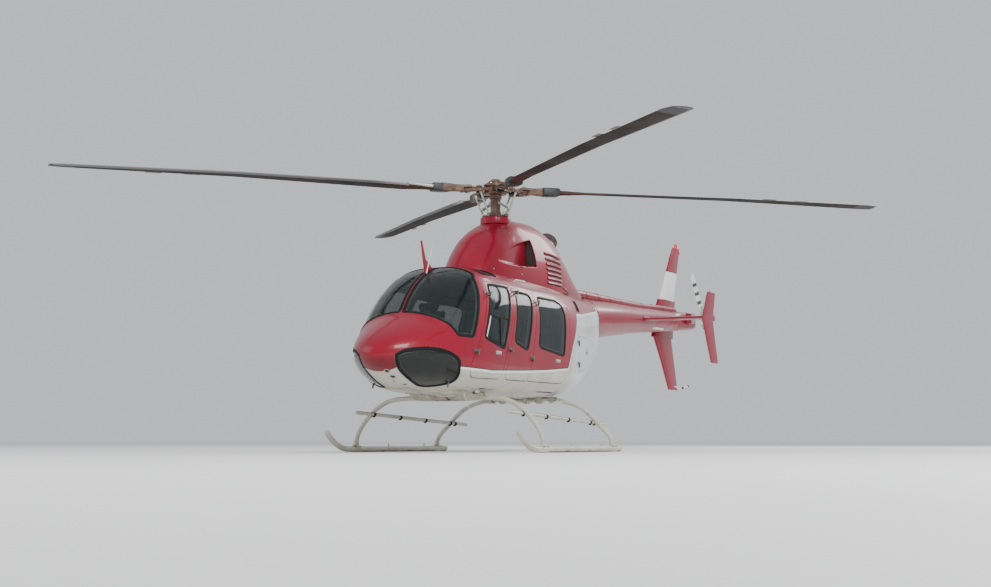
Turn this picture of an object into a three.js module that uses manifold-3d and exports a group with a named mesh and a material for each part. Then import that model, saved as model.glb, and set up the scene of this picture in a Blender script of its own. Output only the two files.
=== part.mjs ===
// Light single-engine utility helicopter with an emergency service livery, parked on its skids.
// Millimetres, +X towards the nose, +Y left, +Z up, with the ground at z = 0.
// Places along the machine are counted from the rotor mast's axis, which stands at x = mastX.
import * as THREE from 'three';
import { mergeVertices } from 'three/addons/utils/BufferGeometryUtils.js';
import Module from 'manifold-3d';

const wasm = await Module();
wasm.setup();

// driving dimensions
const mastX = 1697;              // puts the origin under the middle of the whole machine
const seatGap = 0.3;             // between pieces that touch
const doorGap = 6;               // all round a door
const lipDepth = 10;             // thickness of a door's outer skin
const lipWidth = 20;             // how far that skin stands over the door's inner frame
const wall = 50;                 // cabin wall and door thickness
const cowlWall = 25;
const glassDepth = [4, 12];      // outer and inner face of a pane below the skin
const rotorRadius = 5335;
const rotorHubZ = 3210;
const rotorAngle = 46;           // degrees from the nose to the first blade
const mastRadius = 55;
const mastFootZ = 2400;
const bladeRootRadius = 700;
const tailRotorRadius = 825;
const tailRotorHub = { x: -6540, y: 400, z: 2040 };
const tailRotorAngle = 52;
const skidHalfTrack = 1220;
const skidRadius = 34;
const crossTubeRadius = 27;
const crossTubeX = { front: 1250, rear: -760 };

const ringSides = 28;

// fuselage sections: place, lowest and highest point, half width, height of the widest
// point, and how square the section is below and above it (2 is an ellipse)
const hullColumns = ['x', 'bottom', 'top', 'halfWidth', 'waist', 'lowerSquare', 'upperSquare'];
const hullTable = [
  [2930, 1040, 1085, 30, 1065, 2.0, 2.0],
  [2895, 970, 1165, 150, 1080, 2.0, 2.0],
  [2820, 900, 1245, 265, 1090, 2.1, 2.0],
  [2700, 838, 1330, 380, 1100, 2.2, 2.0],
  [2530, 770, 1430, 495, 1110, 2.3, 2.0],
  [2360, 720, 1530, 580, 1115, 2.4, 2.0],
  [2200, 690, 1720, 640, 1120, 2.5, 2.1],
  [2000, 668, 1900, 693, 1130, 2.8, 2.3],
  [1750, 662, 2040, 735, 1140, 3.2, 2.6],
  [1500, 660, 2110, 755, 1150, 3.5, 2.9],
  [1200, 660, 2130, 760, 1150, 3.6, 3.1],
  [400, 660, 2120, 765, 1150, 3.6, 3.2],
  [-300, 660, 2110, 760, 1150, 3.6, 3.2],
  [-700, 668, 2100, 740, 1160, 3.5, 3.1],
  [-1100, 710, 2090, 680, 1200, 3.3, 3.0],
  [-1600, 820, 2070, 560, 1310, 3.1, 2.8],
  [-2100, 975, 2050, 435, 1460, 2.8, 2.5],
  [-2400, 1130, 2050, 360, 1580, 2.4, 2.2],
  [-2560, 1380, 2070, 285, 1740, 2.0, 2.0],
];
const hullSections = hullTable.map(([x]) => x);

// cowling sections over the roof: place, height of the top, half width at the base, squareness
const cowlColumns = ['x', 'top', 'halfWidth', 'square'];
const cowlTable = [
  [960, 2140, 150, 2.0],
  [850, 2270, 270, 2.1],
  [700, 2430, 360, 2.2],
  [450, 2650, 430, 2.3],
  [150, 2785, 475, 2.3],
  [-160, 2850, 500, 2.3],
  [-550, 2860, 520, 2.3],
  [-900, 2800, 505, 2.3],
  [-1250, 2600, 455, 2.2],
  [-1600, 2360, 385, 2.1],
  [-1950, 2160, 300, 2.0],
  [-2150, 2090, 220, 2.0],
];
const cowlBaseZ = 1930;
const archZ = 2000;              // where the straight sides end and the arch begins
const cowlSplitX = -160;
// side intake ramp in front of that split: place, depth in from the skin, lower and upper edge
const intakeTable = [
  [640, -5, 2265, 2330],
  [400, 35, 2240, 2420],
  [120, 85, 2245, 2510],
  [cowlSplitX - 1, 125, 2265, 2570],
];

// tail boom sections: place, height of the axis, radius
const boomTable = [
  [-2560.3, 1785, 275],
  [-3500, 1842, 245],
  [-4470, 1895, 200],
  [-5800, 1960, 165],
  [-6900, 2020, 140],
  [-7030, 2030, 105],
];

// door outlines seen from the side, as [x, z], beginning with the edge on the hinges
const hingeLines = {
  crew: [[1475, 1930], [1930, 1078]],
  litter: [[862, 1930], [1158, 1162]],
  passenger: [[305, 1930], [656, 825]],
  baggage: [[-900, 1410], [-900, 1020]],
};
// how far out a hinge axis lies at the two ends of its line, and the heights of its hinges
const hingeAxes = {
  crew: { out: [703, 751], heights: [1778, 1110] },
  litter: { out: [721, 794], heights: [1845, 1165] },
  passenger: { out: [747, 799], heights: [1755, 1085] },
  baggage: { out: [732, 732], heights: [1350, 1080] },
};
const knuckleRadius = 7;
const knuckleLength = 34;
const doorOutlines = {
  crew: [...hingeLines.crew, [1985, 975], [1970, 890], [1900, 825], [1370, 825], [1322, 870],
    [1312, 950], [1222, 1170], [912, 1930]],
  litter: [...hingeLines.litter, [1240, 950], [1225, 870], [1160, 825], [656, 825], [305, 1930]],
  passenger: [hingeLines.passenger[0], [638, 880], [604, 832], [560, 825], [-340, 825], [-435, 870],
    [-478, 960], [-520, 1200], [-655, 1850], [-640, 1930]],
};
const windowOutlines = {
  crew: [[1462, 1870], [1735, 1300], [1715, 1268], [1320, 1176], [1285, 1200], [995, 1880],
    [1030, 1900], [1420, 1900]],
  litter: [[848, 1840], [1020, 1300], [1000, 1256], [715, 1188], [675, 1215], [455, 1790],
    [480, 1850], [820, 1865]],
  passenger: [[262, 1800], [373, 1270], [340, 1234], [-335, 1166], [-372, 1195], [-478, 1690],
    [-445, 1790], [-300, 1835], [230, 1840]],
};
const baggageOutline = [[-900, 1020], [-900, 1410], [-930, 1440], [-1440, 1440], [-1470, 1410],
  [-1470, 1090], [-1440, 1060], [-960, 990], [-930, 990]];
// line along the foot of the windshield, seen from the side, and the glass above it
const windshieldFoot = [[1950, 1273], [2185, 1282], [2235, 1385], [2360, 1560]];
const windshieldOutline = [...windshieldFoot, [2700, 1560], [2700, 2300], [1520, 2300],
  [1520, 2010], [1600, 1960]];
const centrePostHalf = 22;
// chin window seen from below, and the line along its top edge seen from the side
const chinPlan = [[2870, 236], [2811, 220], [2728, 206], [2542, 215], [2356, 214], [2301, 231],
  [2239, 282], [2163, 390], [2093, 502], [2089, 552], [2105, 591], [2137, 620], [2168, 640], [2240, 720],
  [2240, 900], [2900, 900]];
const chinTopLine = [[2900, 1000], [2844, 1048], [2791, 1090], [2726, 1109], [2594, 1124], [2444, 1113],
  [2323, 1086], [2215, 1038], [2168, 995], [2080, 915]];
const roofWindowPlan = [[1010, 130], [1400, 130], [1360, 500], [1030, 520]];

// edges of the cabin panels seen from the side
const doorFootZ = 825;
const sillGap = 10;              // below a door, which dips a little as it opens
const sillZ = doorFootZ - sillGap + doorGap / 2;
const roofEdgeZ = 1933;
const noseSeamX = 1965;
const bellyRearX = -620;
const roofRearX = -730;
const noseRegion = [[3300, 300], [noseSeamX + seatGap, 300], [noseSeamX + seatGap, sillZ + seatGap],
  [1780, sillZ + seatGap], [1780, 1273], ...windshieldFoot, [3300, 1560]];
const bellyRegion = [[bellyRearX, 300], [noseSeamX, 300], [noseSeamX, sillZ], [bellyRearX, sillZ]];
const roofRegion = [[roofRearX, 2600], [roofRearX, roofEdgeZ], [1380, roofEdgeZ],
  [1780, 1273 + seatGap], ...windshieldFoot.map(([x, z]) => [x - seatGap, z + seatGap]),
  [2700, 1570], [2700, 2600]];
const postRegion = [[700, 1950], [1050, 1950], [1380, 950], [1380, sillZ + seatGap],
  [1130, sillZ + seatGap], [1130, 950]];
const sidePanelRegion = [[600, sillZ + seatGap], [1380, sillZ + seatGap], [1380, 950],
  [1050, roofEdgeZ - seatGap], [200, roofEdgeZ - seatGap]];
const aftRegion = [[-2700, 300], [bellyRearX - seatGap, 300], [bellyRearX - seatGap, sillZ + seatGap],
  [-300, sillZ + seatGap], [-300, roofEdgeZ - seatGap], [roofRearX - seatGap, roofEdgeZ - seatGap],
  [roofRearX - seatGap, 2600], [-2700, 2600]];

function paint(color, roughness = 0.35, metalness = 0) {
  return new THREE.MeshStandardMaterial({ color, roughness, metalness });
}
const materials = {
  red: paint(0xb5122b),
  white: paint(0xd6d3c4),
  glass: paint(0x2c3438, 0.1),
  blade: paint(0x24252a, 0.6),
  gearPaint: paint(0xbcbaae, 0.5),
  metal: paint(0x8c8a84, 0.4, 0.8),
  hubMetal: paint(0x5f4f42, 0.5, 0.6),
  seat: paint(0x3a3d42, 0.9),
  panel: paint(0x1d1f21, 0.8),
  stripedBlade: paint(0xe4e4e0, 0.4),
};

// reads a table's curve at x, smooth and without overshoot between its rows
function readTable(table, columns, x) {
  const rows = table[0][0] > table.at(-1)[0] ? [...table].reverse() : table;
  const last = rows.length - 1;
  const at = Math.min(Math.max(x, rows[0][0]), rows[last][0]);
  let index = 0;
  while (index < last - 1 && at > rows[index + 1][0]) index += 1;
  const step = rows[index + 1][0] - rows[index][0];
  const t = (at - rows[index][0]) / step;
  const result = {};
  columns.slice(1).forEach((name, offset) => {
    const column = offset + 1;
    const rise = (i) => (rows[i + 1][column] - rows[i][column]) / (rows[i + 1][0] - rows[i][0]);
    const slope = (i) => {
      if (i === 0) return rise(0);
      if (i === last) return rise(last - 1);
      const before = rise(i - 1);
      const after = rise(i);
      return before * after <= 0 ? 0 : (2 * before * after) / (before + after);
    };
    const a = rows[index][column];
    const b = rows[index + 1][column];
    result[name] = (2 * t ** 3 - 3 * t ** 2 + 1) * a + (t ** 3 - 2 * t ** 2 + t) * step * slope(index)
      + (3 * t ** 2 - 2 * t ** 3) * b + (t ** 3 - t ** 2) * step * slope(index + 1);
  });
  return result;
}

// closed skin through rings of equal length, with a flat cap at each end
function loft(rings) {
  const sides = rings[0].length;
  const positions = rings.flat().flatMap((point) => [point.x, point.y, point.z]);
  const indices = [];
  for (let ring = 0; ring < rings.length - 1; ring += 1) {
    for (let side = 0; side < sides; side += 1) {
      const a = ring * sides + side;
      const b = ring * sides + ((side + 1) % sides);
      indices.push(a, b, b + sides, a, b + sides, a + sides);
    }
  }
  const lastRing = (rings.length - 1) * sides;
  for (let side = 1; side < sides - 1; side += 1) {
    indices.push(0, side + 1, side, lastRing, lastRing + side, lastRing + side + 1);
  }
  const geometry = new THREE.BufferGeometry();
  geometry.setAttribute('position', new THREE.Float32BufferAttribute(positions, 3));
  geometry.setIndex(indices);
  return geometry;
}

function solid(geometry) {
  const bare = geometry.clone();
  Object.keys(bare.attributes).filter((name) => name !== 'position')
    .forEach((name) => bare.deleteAttribute(name));
  const merged = mergeVertices(bare, 1e-3);
  let body = new wasm.Manifold(new wasm.Mesh({
    numProp: 3,
    vertProperties: new Float32Array(merged.attributes.position.array),
    triVerts: new Uint32Array(merged.index.array),
  }));
  if (body.volume() < 0) {
    const flipped = Uint32Array.from(merged.index.array);
    for (let i = 0; i < flipped.length; i += 3) {
      [flipped[i + 1], flipped[i + 2]] = [flipped[i + 2], flipped[i + 1]];
    }
    body = new wasm.Manifold(new wasm.Mesh({
      numProp: 3,
      vertProperties: new Float32Array(merged.attributes.position.array),
      triVerts: flipped,
    }));
  }
  return body;
}

function surfaceOf(body) {
  const { vertProperties, triVerts } = body.getMesh();
  const geometry = new THREE.BufferGeometry();
  geometry.setAttribute('position', new THREE.Float32BufferAttribute(vertProperties, 3));
  geometry.setIndex(Array.from(triVerts));
  geometry.computeVertexNormals();
  return geometry;
}

function joined(bodies) {
  return bodies.reduce((sum, body) => sum.add(body));
}

function outline(points) {
  return new THREE.Shape(points.map(([a, b]) => new THREE.Vector2(a, b)));
}

// prism over an outline seen from the side, between two places across the machine
function sidePrism(points, y0, y1) {
  const geometry = new THREE.ExtrudeGeometry(outline(points), { depth: y1 - y0, bevelEnabled: false });
  geometry.rotateX(Math.PI / 2).translate(0, y1, 0);
  return solid(geometry);
}

function planPrism(points, z0, z1) {
  const geometry = new THREE.ExtrudeGeometry(outline(points), { depth: z1 - z0, bevelEnabled: false });
  geometry.translate(0, 0, z0);
  return solid(geometry);
}

function block(x0, x1, y0, y1, z0, z1) {
  const geometry = new THREE.BoxGeometry(x1 - x0, y1 - y0, z1 - z0);
  geometry.translate((x0 + x1) / 2, (y0 + y1) / 2, (z0 + z1) / 2);
  return solid(geometry);
}

// round bar from one point to another, as a cylinder or a cone
function bar(from, to, radius, endRadius = radius, sides = 16) {
  const start = new THREE.Vector3(...from);
  const end = new THREE.Vector3(...to);
  const geometry = new THREE.CylinderGeometry(endRadius, radius, start.distanceTo(end), sides);
  const turn = new THREE.Quaternion().setFromUnitVectors(
    new THREE.Vector3(0, 1, 0), end.clone().sub(start).normalize());
  geometry.applyQuaternion(turn);
  geometry.translate(...start.clone().add(end).multiplyScalar(0.5).toArray());
  return solid(geometry);
}

function smoothPath(points) {
  return new THREE.CatmullRomCurve3(points.map((p) => new THREE.Vector3(...p)), false, 'centripetal');
}

// tube along a curve, with flat sides square to the axes
function tube(path, radius, steps, sides = 12) {
  const section = Array.from({ length: sides }, (_, i) => {
    const angle = (i + 0.5) * 2 * Math.PI / sides;
    return [radius * Math.cos(angle), radius * Math.sin(angle)];
  });
  return solid(new THREE.ExtrudeGeometry(outline(section), { steps, extrudePath: path }));
}

// moves the edges of a convex or gently hollow outline inwards by an amount
function inset(points, amount) {
  const turning = points.reduce((sum, [x, z], i) => {
    const [nextX, nextZ] = points[(i + 1) % points.length];
    return sum + x * nextZ - nextX * z;
  }, 0);
  const side = Math.sign(turning) * amount;
  return points.map((point, i) => {
    const before = new THREE.Vector2(...points[(i + points.length - 1) % points.length]);
    const here = new THREE.Vector2(...point);
    const after = new THREE.Vector2(...points[(i + 1) % points.length]);
    const inward = (a, b) => {
      const run = b.clone().sub(a).normalize();
      return new THREE.Vector2(-run.y, run.x);
    };
    const first = inward(before, here);
    const second = inward(here, after);
    const middle = first.clone().add(second).normalize();
    const reach = side / Math.max(middle.dot(first), 0.3);
    return [here.x + middle.x * reach, here.y + middle.y * reach];
  });
}

function mirrored(body) {
  return body.mirror([0, 1, 0]);
}

// a sine or cosine squared off, for a section between an ellipse and a box
const squared = (value, square) => Math.sign(value) * Math.abs(value) ** (2 / square);

// one fuselage ring at x, drawn in from the skin by depth
function hullRing(x, depth) {
  const { bottom, top, halfWidth, waist, lowerSquare, upperSquare } = readTable(hullTable, hullColumns, x);
  const place = x === hullTable[0][0] ? x - depth : x;
  return Array.from({ length: ringSides }, (_, i) => {
    const angle = (i + 0.5) * 2 * Math.PI / ringSides;
    const upper = Math.sin(angle) > 0;
    const square = upper ? upperSquare : lowerSquare;
    const height = Math.max((upper ? top - waist : waist - bottom) - depth, 8);
    const across = Math.max(halfWidth - depth, 8);
    return new THREE.Vector3(place, across * squared(Math.cos(angle), square),
      waist + height * squared(Math.sin(angle), square));
  });
}

// half width of the fuselage at a place and height
function skinY(x, z) {
  const { bottom, top, halfWidth, waist, lowerSquare, upperSquare } = readTable(hullTable, hullColumns, x);
  const rise = z > waist ? (z - waist) / (top - waist) : (waist - z) / (waist - bottom);
  const square = z > waist ? upperSquare : lowerSquare;
  return halfWidth * (1 - rise ** square) ** (1 / square);
}

function hullBody(depth) {
  const places = hullSections.filter((x) => x === hullTable[0][0] || x < hullTable[0][0] - depth);
  return solid(loft(places.map((x) => hullRing(x, depth))));
}

const hulls = new Map();
function hull(depth) {
  if (!hulls.has(depth)) hulls.set(depth, hullBody(depth));
  return hulls.get(depth);
}

function skin(outerDepth, innerDepth) {
  return hull(outerDepth).subtract(hull(innerDepth));
}

const farOut = 1000;
const nearIn = 180;

function windshieldPrism(shrink) {
  return sidePrism(inset(windshieldOutline, shrink), centrePostHalf + shrink, farOut);
}

function chinPrism(shrink) {
  const below = [[2080, 400], [2900, 400], ...chinTopLine];
  return planPrism(inset(chinPlan, shrink), 400, 1200)
    .intersect(sidePrism(inset(below, shrink), 0, farOut));
}

function roofWindowPrism(shrink) {
  return planPrism(inset(roofWindowPlan, shrink), 1850, 2300);
}

const doorPrism = (name, shrink) => sidePrism(inset(doorOutlines[name], shrink), nearIn, farOut);
const windowPrism = (name, shrink) => sidePrism(inset(windowOutlines[name], shrink), nearIn, farOut);

// knuckles and arms of a door's hinges, on the frame in front (1) or on the door (-1)
function hingeKnuckles(name, owner) {
  const [[topX, topZ], [footX, footZ]] = hingeLines[name];
  const { out: [topY, footY], heights } = hingeAxes[name];
  const top = new THREE.Vector3(topX, topY, topZ);
  const run = new THREE.Vector3(footX, footY, footZ).sub(top);
  const along = run.clone().normalize();
  return joined(heights.map((z) => {
    const place = top.clone().addScaledVector(run, (z - topZ) / (footZ - topZ));
    const at = (distance) => place.clone().addScaledVector(along, -owner * distance);
    const middle = at(knuckleLength / 2);
    const root = [middle.x + owner * 26, skinY(middle.x, middle.z) - 12, middle.z];
    return bar(at(seatGap / 2).toArray(), at(knuckleLength).toArray(), knuckleRadius, knuckleRadius, 8)
      .add(bar(middle.toArray(), root, knuckleRadius, 9, 8));
  }));
}

function openings(names) {
  return joined(names.map((name) => {
    const lowered = doorOutlines[name].map(([x, z]) => [x, z === doorFootZ ? sillZ + doorGap / 2 : z]);
    return sidePrism(inset(lowered, -doorGap / 2), nearIn, farOut);
  }));
}

const leftDoorways = openings(['crew', 'litter', 'passenger']);
const rightDoorways = mirrored(openings(['crew', 'passenger']));
const cabinSkin = skin(0, wall);
const crewKnuckles = hingeKnuckles('crew', 1);
const frameKnuckles = joined([crewKnuckles, mirrored(crewKnuckles), hingeKnuckles('litter', 1)]);
const noseSide = block(1600, 2400, -farOut, farOut, 700, 1250);

function noseShell() {
  const chins = chinPrism(0);
  return cabinSkin.intersect(sidePrism(noseRegion, -farOut, farOut))
    .subtract(leftDoorways).subtract(rightDoorways).subtract(chins).subtract(mirrored(chins))
    .add(frameKnuckles.intersect(noseSide));
}

function bellyShell() {
  return cabinSkin.intersect(sidePrism(bellyRegion, -farOut, farOut));
}

function cabinFrame() {
  const glass = windshieldPrism(0).add(roofWindowPrism(0));
  const region = sidePrism(roofRegion, -farOut, farOut).add(sidePrism(postRegion, nearIn, farOut));
  return cabinSkin.intersect(region)
    .subtract(leftDoorways).subtract(rightDoorways).subtract(glass).subtract(mirrored(glass))
    .add(frameKnuckles.subtract(noseSide));
}

function sidePanelRight() {
  return cabinSkin.intersect(sidePrism(sidePanelRegion, -farOut, -nearIn))
    .subtract(rightDoorways).subtract(mirrored(windowPrism('litter', 0)))
    .add(mirrored(hingeKnuckles('passenger', 1)));
}

// the hollow aft body with its bulkhead behind the cabin
function aftFuselage() {
  const bulkhead = hull(wall - 1).intersect(block(-830, -790, -farOut, farOut, 300, 2300));
  const rearEnd = hull(wall - 1).intersect(block(-2600, -2420, -farOut, farOut, 300, 2300));
  return cabinSkin.intersect(sidePrism(aftRegion, -farOut, farOut))
    .subtract(leftDoorways).subtract(rightDoorways)
    .subtract(sidePrism(inset(baggageOutline, -doorGap / 2), nearIn, farOut))
    .add(bulkhead).add(rearEnd).add(hingeKnuckles('baggage', 1));
}

// a door with a thin outer skin and a narrower inner frame, which swings clear of its opening
function doorLeaf(prismAt) {
  return skin(0, lipDepth).intersect(prismAt(doorGap / 2))
    .add(skin(lipDepth - 1, wall).intersect(prismAt(doorGap / 2 + lipWidth)));
}

function door(name) {
  return doorLeaf((shrink) => doorPrism(name, shrink)).subtract(windowPrism(name, 0))
    .add(hingeKnuckles(name, -1));
}

// the stretcher door also carries the passenger door's hinges
function litterDoor() {
  return door('litter').add(hingeKnuckles('passenger', 1));
}

function pane(prism) {
  return skin(...glassDepth).intersect(prism);
}

function baggageDoor() {
  return doorLeaf((shrink) => sidePrism(inset(baggageOutline, shrink), nearIn, farOut))
    .add(hingeKnuckles('baggage', -1));
}

// one cowling ring at x: an arch with straight sides down to its base
function cowlRing(x, depth) {
  const { top, halfWidth, square } = readTable(cowlTable, cowlColumns, x);
  const floor = depth > 0 ? cowlBaseZ - 100 : cowlBaseZ;
  const steps = 16;
  const arch = Array.from({ length: steps + 1 }, (_, i) => {
    const angle = i * Math.PI / steps;
    return new THREE.Vector3(x, (halfWidth - depth) * squared(Math.cos(angle), square),
      archZ + (top - depth - archZ) * squared(Math.sin(angle), square));
  });
  return [new THREE.Vector3(x, halfWidth - depth, floor), ...arch,
    new THREE.Vector3(x, depth - halfWidth, floor)];
}

// hollow let into the left side of the cowling, widening towards the intake mouth
function intake(growth) {
  return solid(loft(intakeTable.map(([x, depth, low, high]) => {
    const { top, halfWidth, square } = readTable(cowlTable, cowlColumns, x);
    const rise = ((low + high) / 2 - archZ) / (top - archZ);
    const floor = halfWidth * (1 - rise ** square) ** (1 / square) - depth - growth;
    const bottom = low - growth;
    const ceiling = high + growth;
    const round = (ceiling - bottom) / 3;
    return [[farOut, bottom], [farOut, ceiling], [floor + round, ceiling], [floor, ceiling - round],
      [floor, bottom + round], [floor + round, bottom]].map(([y, z]) => new THREE.Vector3(x, y, z));
  })));
}

// outer and inner bodies of the cowling between two places
function cowlShell(fromX, toX) {
  const between = cowlTable.map(([x]) => x).filter((x) => x < fromX && x > toX);
  const outer = solid(loft([fromX, ...between, toX].map((x) => cowlRing(x, 0))));
  const innerTo = toX === cowlTable.at(-1)[0] ? toX + cowlWall : toX - 1;
  const innerFrom = fromX === cowlTable[0][0] ? fromX - cowlWall : fromX + 1;
  const inner = solid(loft([innerFrom, ...between, innerTo].map((x) => cowlRing(x, cowlWall))));
  return [outer, inner];
}

function transmissionCowl() {
  const [outer, inner] = cowlShell(cowlTable[0][0], cowlSplitX + seatGap);
  const ramp = intake(0);
  const lining = intake(cowlWall);
  return outer.subtract(ramp).subtract(mirrored(ramp))
    .subtract(inner.subtract(lining).subtract(mirrored(lining))).subtract(hull(-seatGap))
    .subtract(bar([0, 0, 2600], [0, 0, 3000], 170));
}

const exhaustAxis = { from: [-1180, 0, 2440], to: [-1560, 0, 2740] };
const exhaustRadius = 125;

function engineCowl() {
  const [outer, inner] = cowlShell(cowlSplitX, cowlTable.at(-1)[0]);
  return outer.subtract(inner).subtract(hull(-seatGap))
    .subtract(bar(exhaustAxis.from, exhaustAxis.to, exhaustRadius + seatGap));
}

function exhaustDuct() {
  const { from, to } = exhaustAxis;
  const floor = from.map((value, i) => value + 0.1 * (to[i] - value));
  const mouth = to.map((value, i) => value + 0.1 * (value - from[i]));
  return bar(from, to, exhaustRadius).subtract(bar(floor, mouth, exhaustRadius - 8));
}

function engineBlock() {
  return bar([-540, 0, 2320], [-1100, 0, 2320], 180)
    .add(block(-1040, -600, -150, 150, 2050, 2250)).subtract(hull(-seatGap));
}

function boomRing([x, axisZ, radius]) {
  const sides = 20;
  return Array.from({ length: sides }, (_, i) => {
    const angle = (i + 0.5) * 2 * Math.PI / sides;
    return new THREE.Vector3(x, radius * Math.cos(angle), axisZ + radius * Math.sin(angle));
  });
}

function boomBody(growth) {
  return solid(loft(boomTable.map(([x, z, radius]) => boomRing([x, z, radius + growth]))));
}

// streamlined section in the plane of the chord, from [lead, trail] and thickness
const foilShape = [[0, 0], [0.08, 0.42], [0.3, 0.5], [0.65, 0.32], [1, 0.04]];
function foilOutline(lead, trail, thickness) {
  const upper = foilShape.map(([along, rise]) => [lead + (trail - lead) * along, rise * thickness]);
  const lower = upper.slice(1).reverse().map(([along, rise]) => [along, -rise]);
  return [...upper, ...lower];
}

// upright surface: rows of height, leading edge, trailing edge and thickness
function uprightFoil(rows, y) {
  return solid(loft(rows.map(([z, lead, trail, thickness]) => foilOutline(lead, trail, thickness)
    .map(([x, across]) => new THREE.Vector3(x, y + across, z)))));
}

const finY = -175;
const finTable = [
  [930, -6480, -6900, 36],
  [1400, -6140, -6740, 60],
  [1850, -5760, -6590, 90],
  [2440, -6190, -6790, 70],
  [3060, -6610, -7000, 44],
  [3200, -6720, -7045, 30],
];
const stabiliser = { lead: -4490, trail: -4930, z: 1905, thickness: 52, halfSpan: 1149 };
const finletY = 1150;
const finletTable = [
  [1250, -4680, -5005, 20],
  [1600, -4470, -4880, 24],
  [1880, -4310, -4790, 24],
  [2270, -4550, -4905, 20],
];

function stabiliserBody(growth) {
  const { lead, trail, z, thickness, halfSpan } = stabiliser;
  const ring = foilOutline(lead + growth, trail - growth, thickness + 2 * growth);
  return solid(loft([-halfSpan, halfSpan]
    .map((y) => ring.map(([x, rise]) => new THREE.Vector3(x, y, z + rise)))));
}

// the tailplane, let into the finlets at its tips
function stabiliserWing() {
  const grown = finletTable.map(([z, lead, trail, thickness]) =>
    [z, lead + 1, trail - 1, thickness + 2 * seatGap]);
  return stabiliserBody(0).subtract(uprightFoil(grown, finletY)).subtract(uprightFoil(grown, -finletY));
}

function tailBoom() {
  const cover = solid(loft([[-2300, 2110, 70], [-4400, 2110, 55], [-6350, 2155, 45]].map(([x, z, r]) =>
    Array.from({ length: 12 }, (_, i) => new THREE.Vector3(
      x, r * Math.cos((i + 0.5) * Math.PI / 6), z + r * Math.sin((i + 0.5) * Math.PI / 6))))));
  return boomBody(0).add(cover).subtract(stabiliserBody(seatGap)).subtract(hull(-seatGap))
    .subtract(solid(loft(cowlTable.map(([x]) => cowlRing(x, -seatGap)))));
}

function verticalFin() {
  return uprightFoil(finTable, finY).subtract(boomBody(seatGap));
}

function tailSkid() {
  const grown = finTable.map(([z, lead, trail, thickness]) => [z, lead + 1, trail - seatGap, thickness + 1]);
  const path = smoothPath([[-6780, finY, 985], [-7000, finY, 968], [-7250, finY, 985], [-7400, finY, 1010]]);
  return tube(path, 16, 8, 8)
    .subtract(uprightFoil(grown, finY));
}

function tailGearbox() {
  const { x, y, z } = tailRotorHub;
  return bar([x, 60, z], [x, 230, z], 95, 80).add(bar([x, 220, z], [x, y - 70, z], 38))
    .subtract(boomBody(seatGap));
}

function crossTubePoints(x, heights) {
  const places = [0, 480, 800, 1030, skidHalfTrack - 12, skidHalfTrack];
  const half = places.map((y, i) => [x, y, heights[i]]);
  return [...half.slice(1).reverse().map(([px, y, z]) => [px, -y, z]), ...half];
}

function skidBar(side, growth) {
  const y = side * skidHalfTrack;
  const sides = 12;
  const axisZ = skidRadius * Math.cos(Math.PI / sides);
  const [heel, bend, knee, toe] = [[-1010, 0], [1420, 0], [1690, 0], [1910, 200]]
    .map(([x, rise]) => new THREE.Vector3(x, y, axisZ + rise));
  const path = new THREE.CurvePath();
  path.add(new THREE.LineCurve3(heel, bend));
  path.add(new THREE.QuadraticBezierCurve3(bend, knee, toe));
  return tube(path, skidRadius + growth, 12, sides);
}

const crossHeights = {
  front: [623, 625, 582, 425, 150, 42],
  rear: [636, 638, 540, 343, 130, 42],
};

function crossTubeRaw(end, growth) {
  const points = crossTubePoints(crossTubeX[end], crossHeights[end]);
  return tube(smoothPath(points), crossTubeRadius + growth, 22, 8);
}

function crossTube(end) {
  const x = crossTubeX[end];
  const clamps = [-1, 1].map((side) => block(x - 55, x + 55, side * 420 - 35, side * 420 + 35, 596, 720));
  return joined([crossTubeRaw(end, 0), ...clamps]).subtract(hull(-seatGap))
    .subtract(skidBar(1, seatGap)).subtract(skidBar(-1, seatGap));
}

function skid(side) {
  return skidBar(side, 0);
}

function flightStep(side) {
  const y = side * 970;
  return tube(smoothPath([[-1100, y, 338], [-300, y, 372], [700, y, 415], [1650, y, 456]]), 21, 8, 8)
    .subtract(crossTubeRaw('front', seatGap)).subtract(crossTubeRaw('rear', seatGap));
}

const floorZ = 710 + seatGap;

function crewSeat(side) {
  const profile = [[1130, floorZ], [1560, floorZ], [1620, 1020], [1560, 1060], [1240, 1020],
    [1100, 1680], [1050, 1770], [990, 1760], [1000, 1660], [1120, 1000]];
  const y = side * 370;
  return sidePrism(profile, y - 230, y + 230).intersect(hull(wall + seatGap));
}

function rearBench() {
  const profile = [[-420, floorZ], [60, floorZ], [100, 1000], [60, 1060], [-230, 1030],
    [-380, 1640], [-480, 1640], [-470, 1100]];
  return sidePrism(profile, -600, 600).intersect(hull(wall + seatGap));
}

function instrumentPanel() {
  const hood = [[2010, 1120], [2150, 1040], [2290, 1060], [2330, 1400], [2240, 1440], [1990, 1410]];
  const pedestal = [[1720, 690], [2180, 690], [2180, 1130], [2020, 1130], [1760, 960]];
  return sidePrism(hood, -330, 330).add(sidePrism(pedestal, -110, 110)).intersect(hull(wall + seatGap));
}

function wireCutter() {
  return sidePrism([[1560, 1990], [1800, 1990], [1830, 2110], [1900, 2380], [1880, 2385], [1790, 2180],
    [1600, 2070]], -9, 9).subtract(hull(-seatGap));
}

// fixed transmission top with the swashplate's lower ring
function mastBase() {
  return bar([0, 0, 2080], [0, 0, 2640], 230, 95).add(bar([0, 0, 2780], [0, 0, 2830], 140))
    .add(bar([0, 0, 2630], [0, 0, 2790], 92)).subtract(hull(-seatGap))
    .subtract(bar([0, 0, mastFootZ], [0, 0, 2900], mastRadius + 7));
}

const turned = (x, y, degrees) => {
  const angle = degrees * Math.PI / 180;
  return [x * Math.cos(angle) - y * Math.sin(angle), x * Math.sin(angle) + y * Math.cos(angle)];
};

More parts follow.
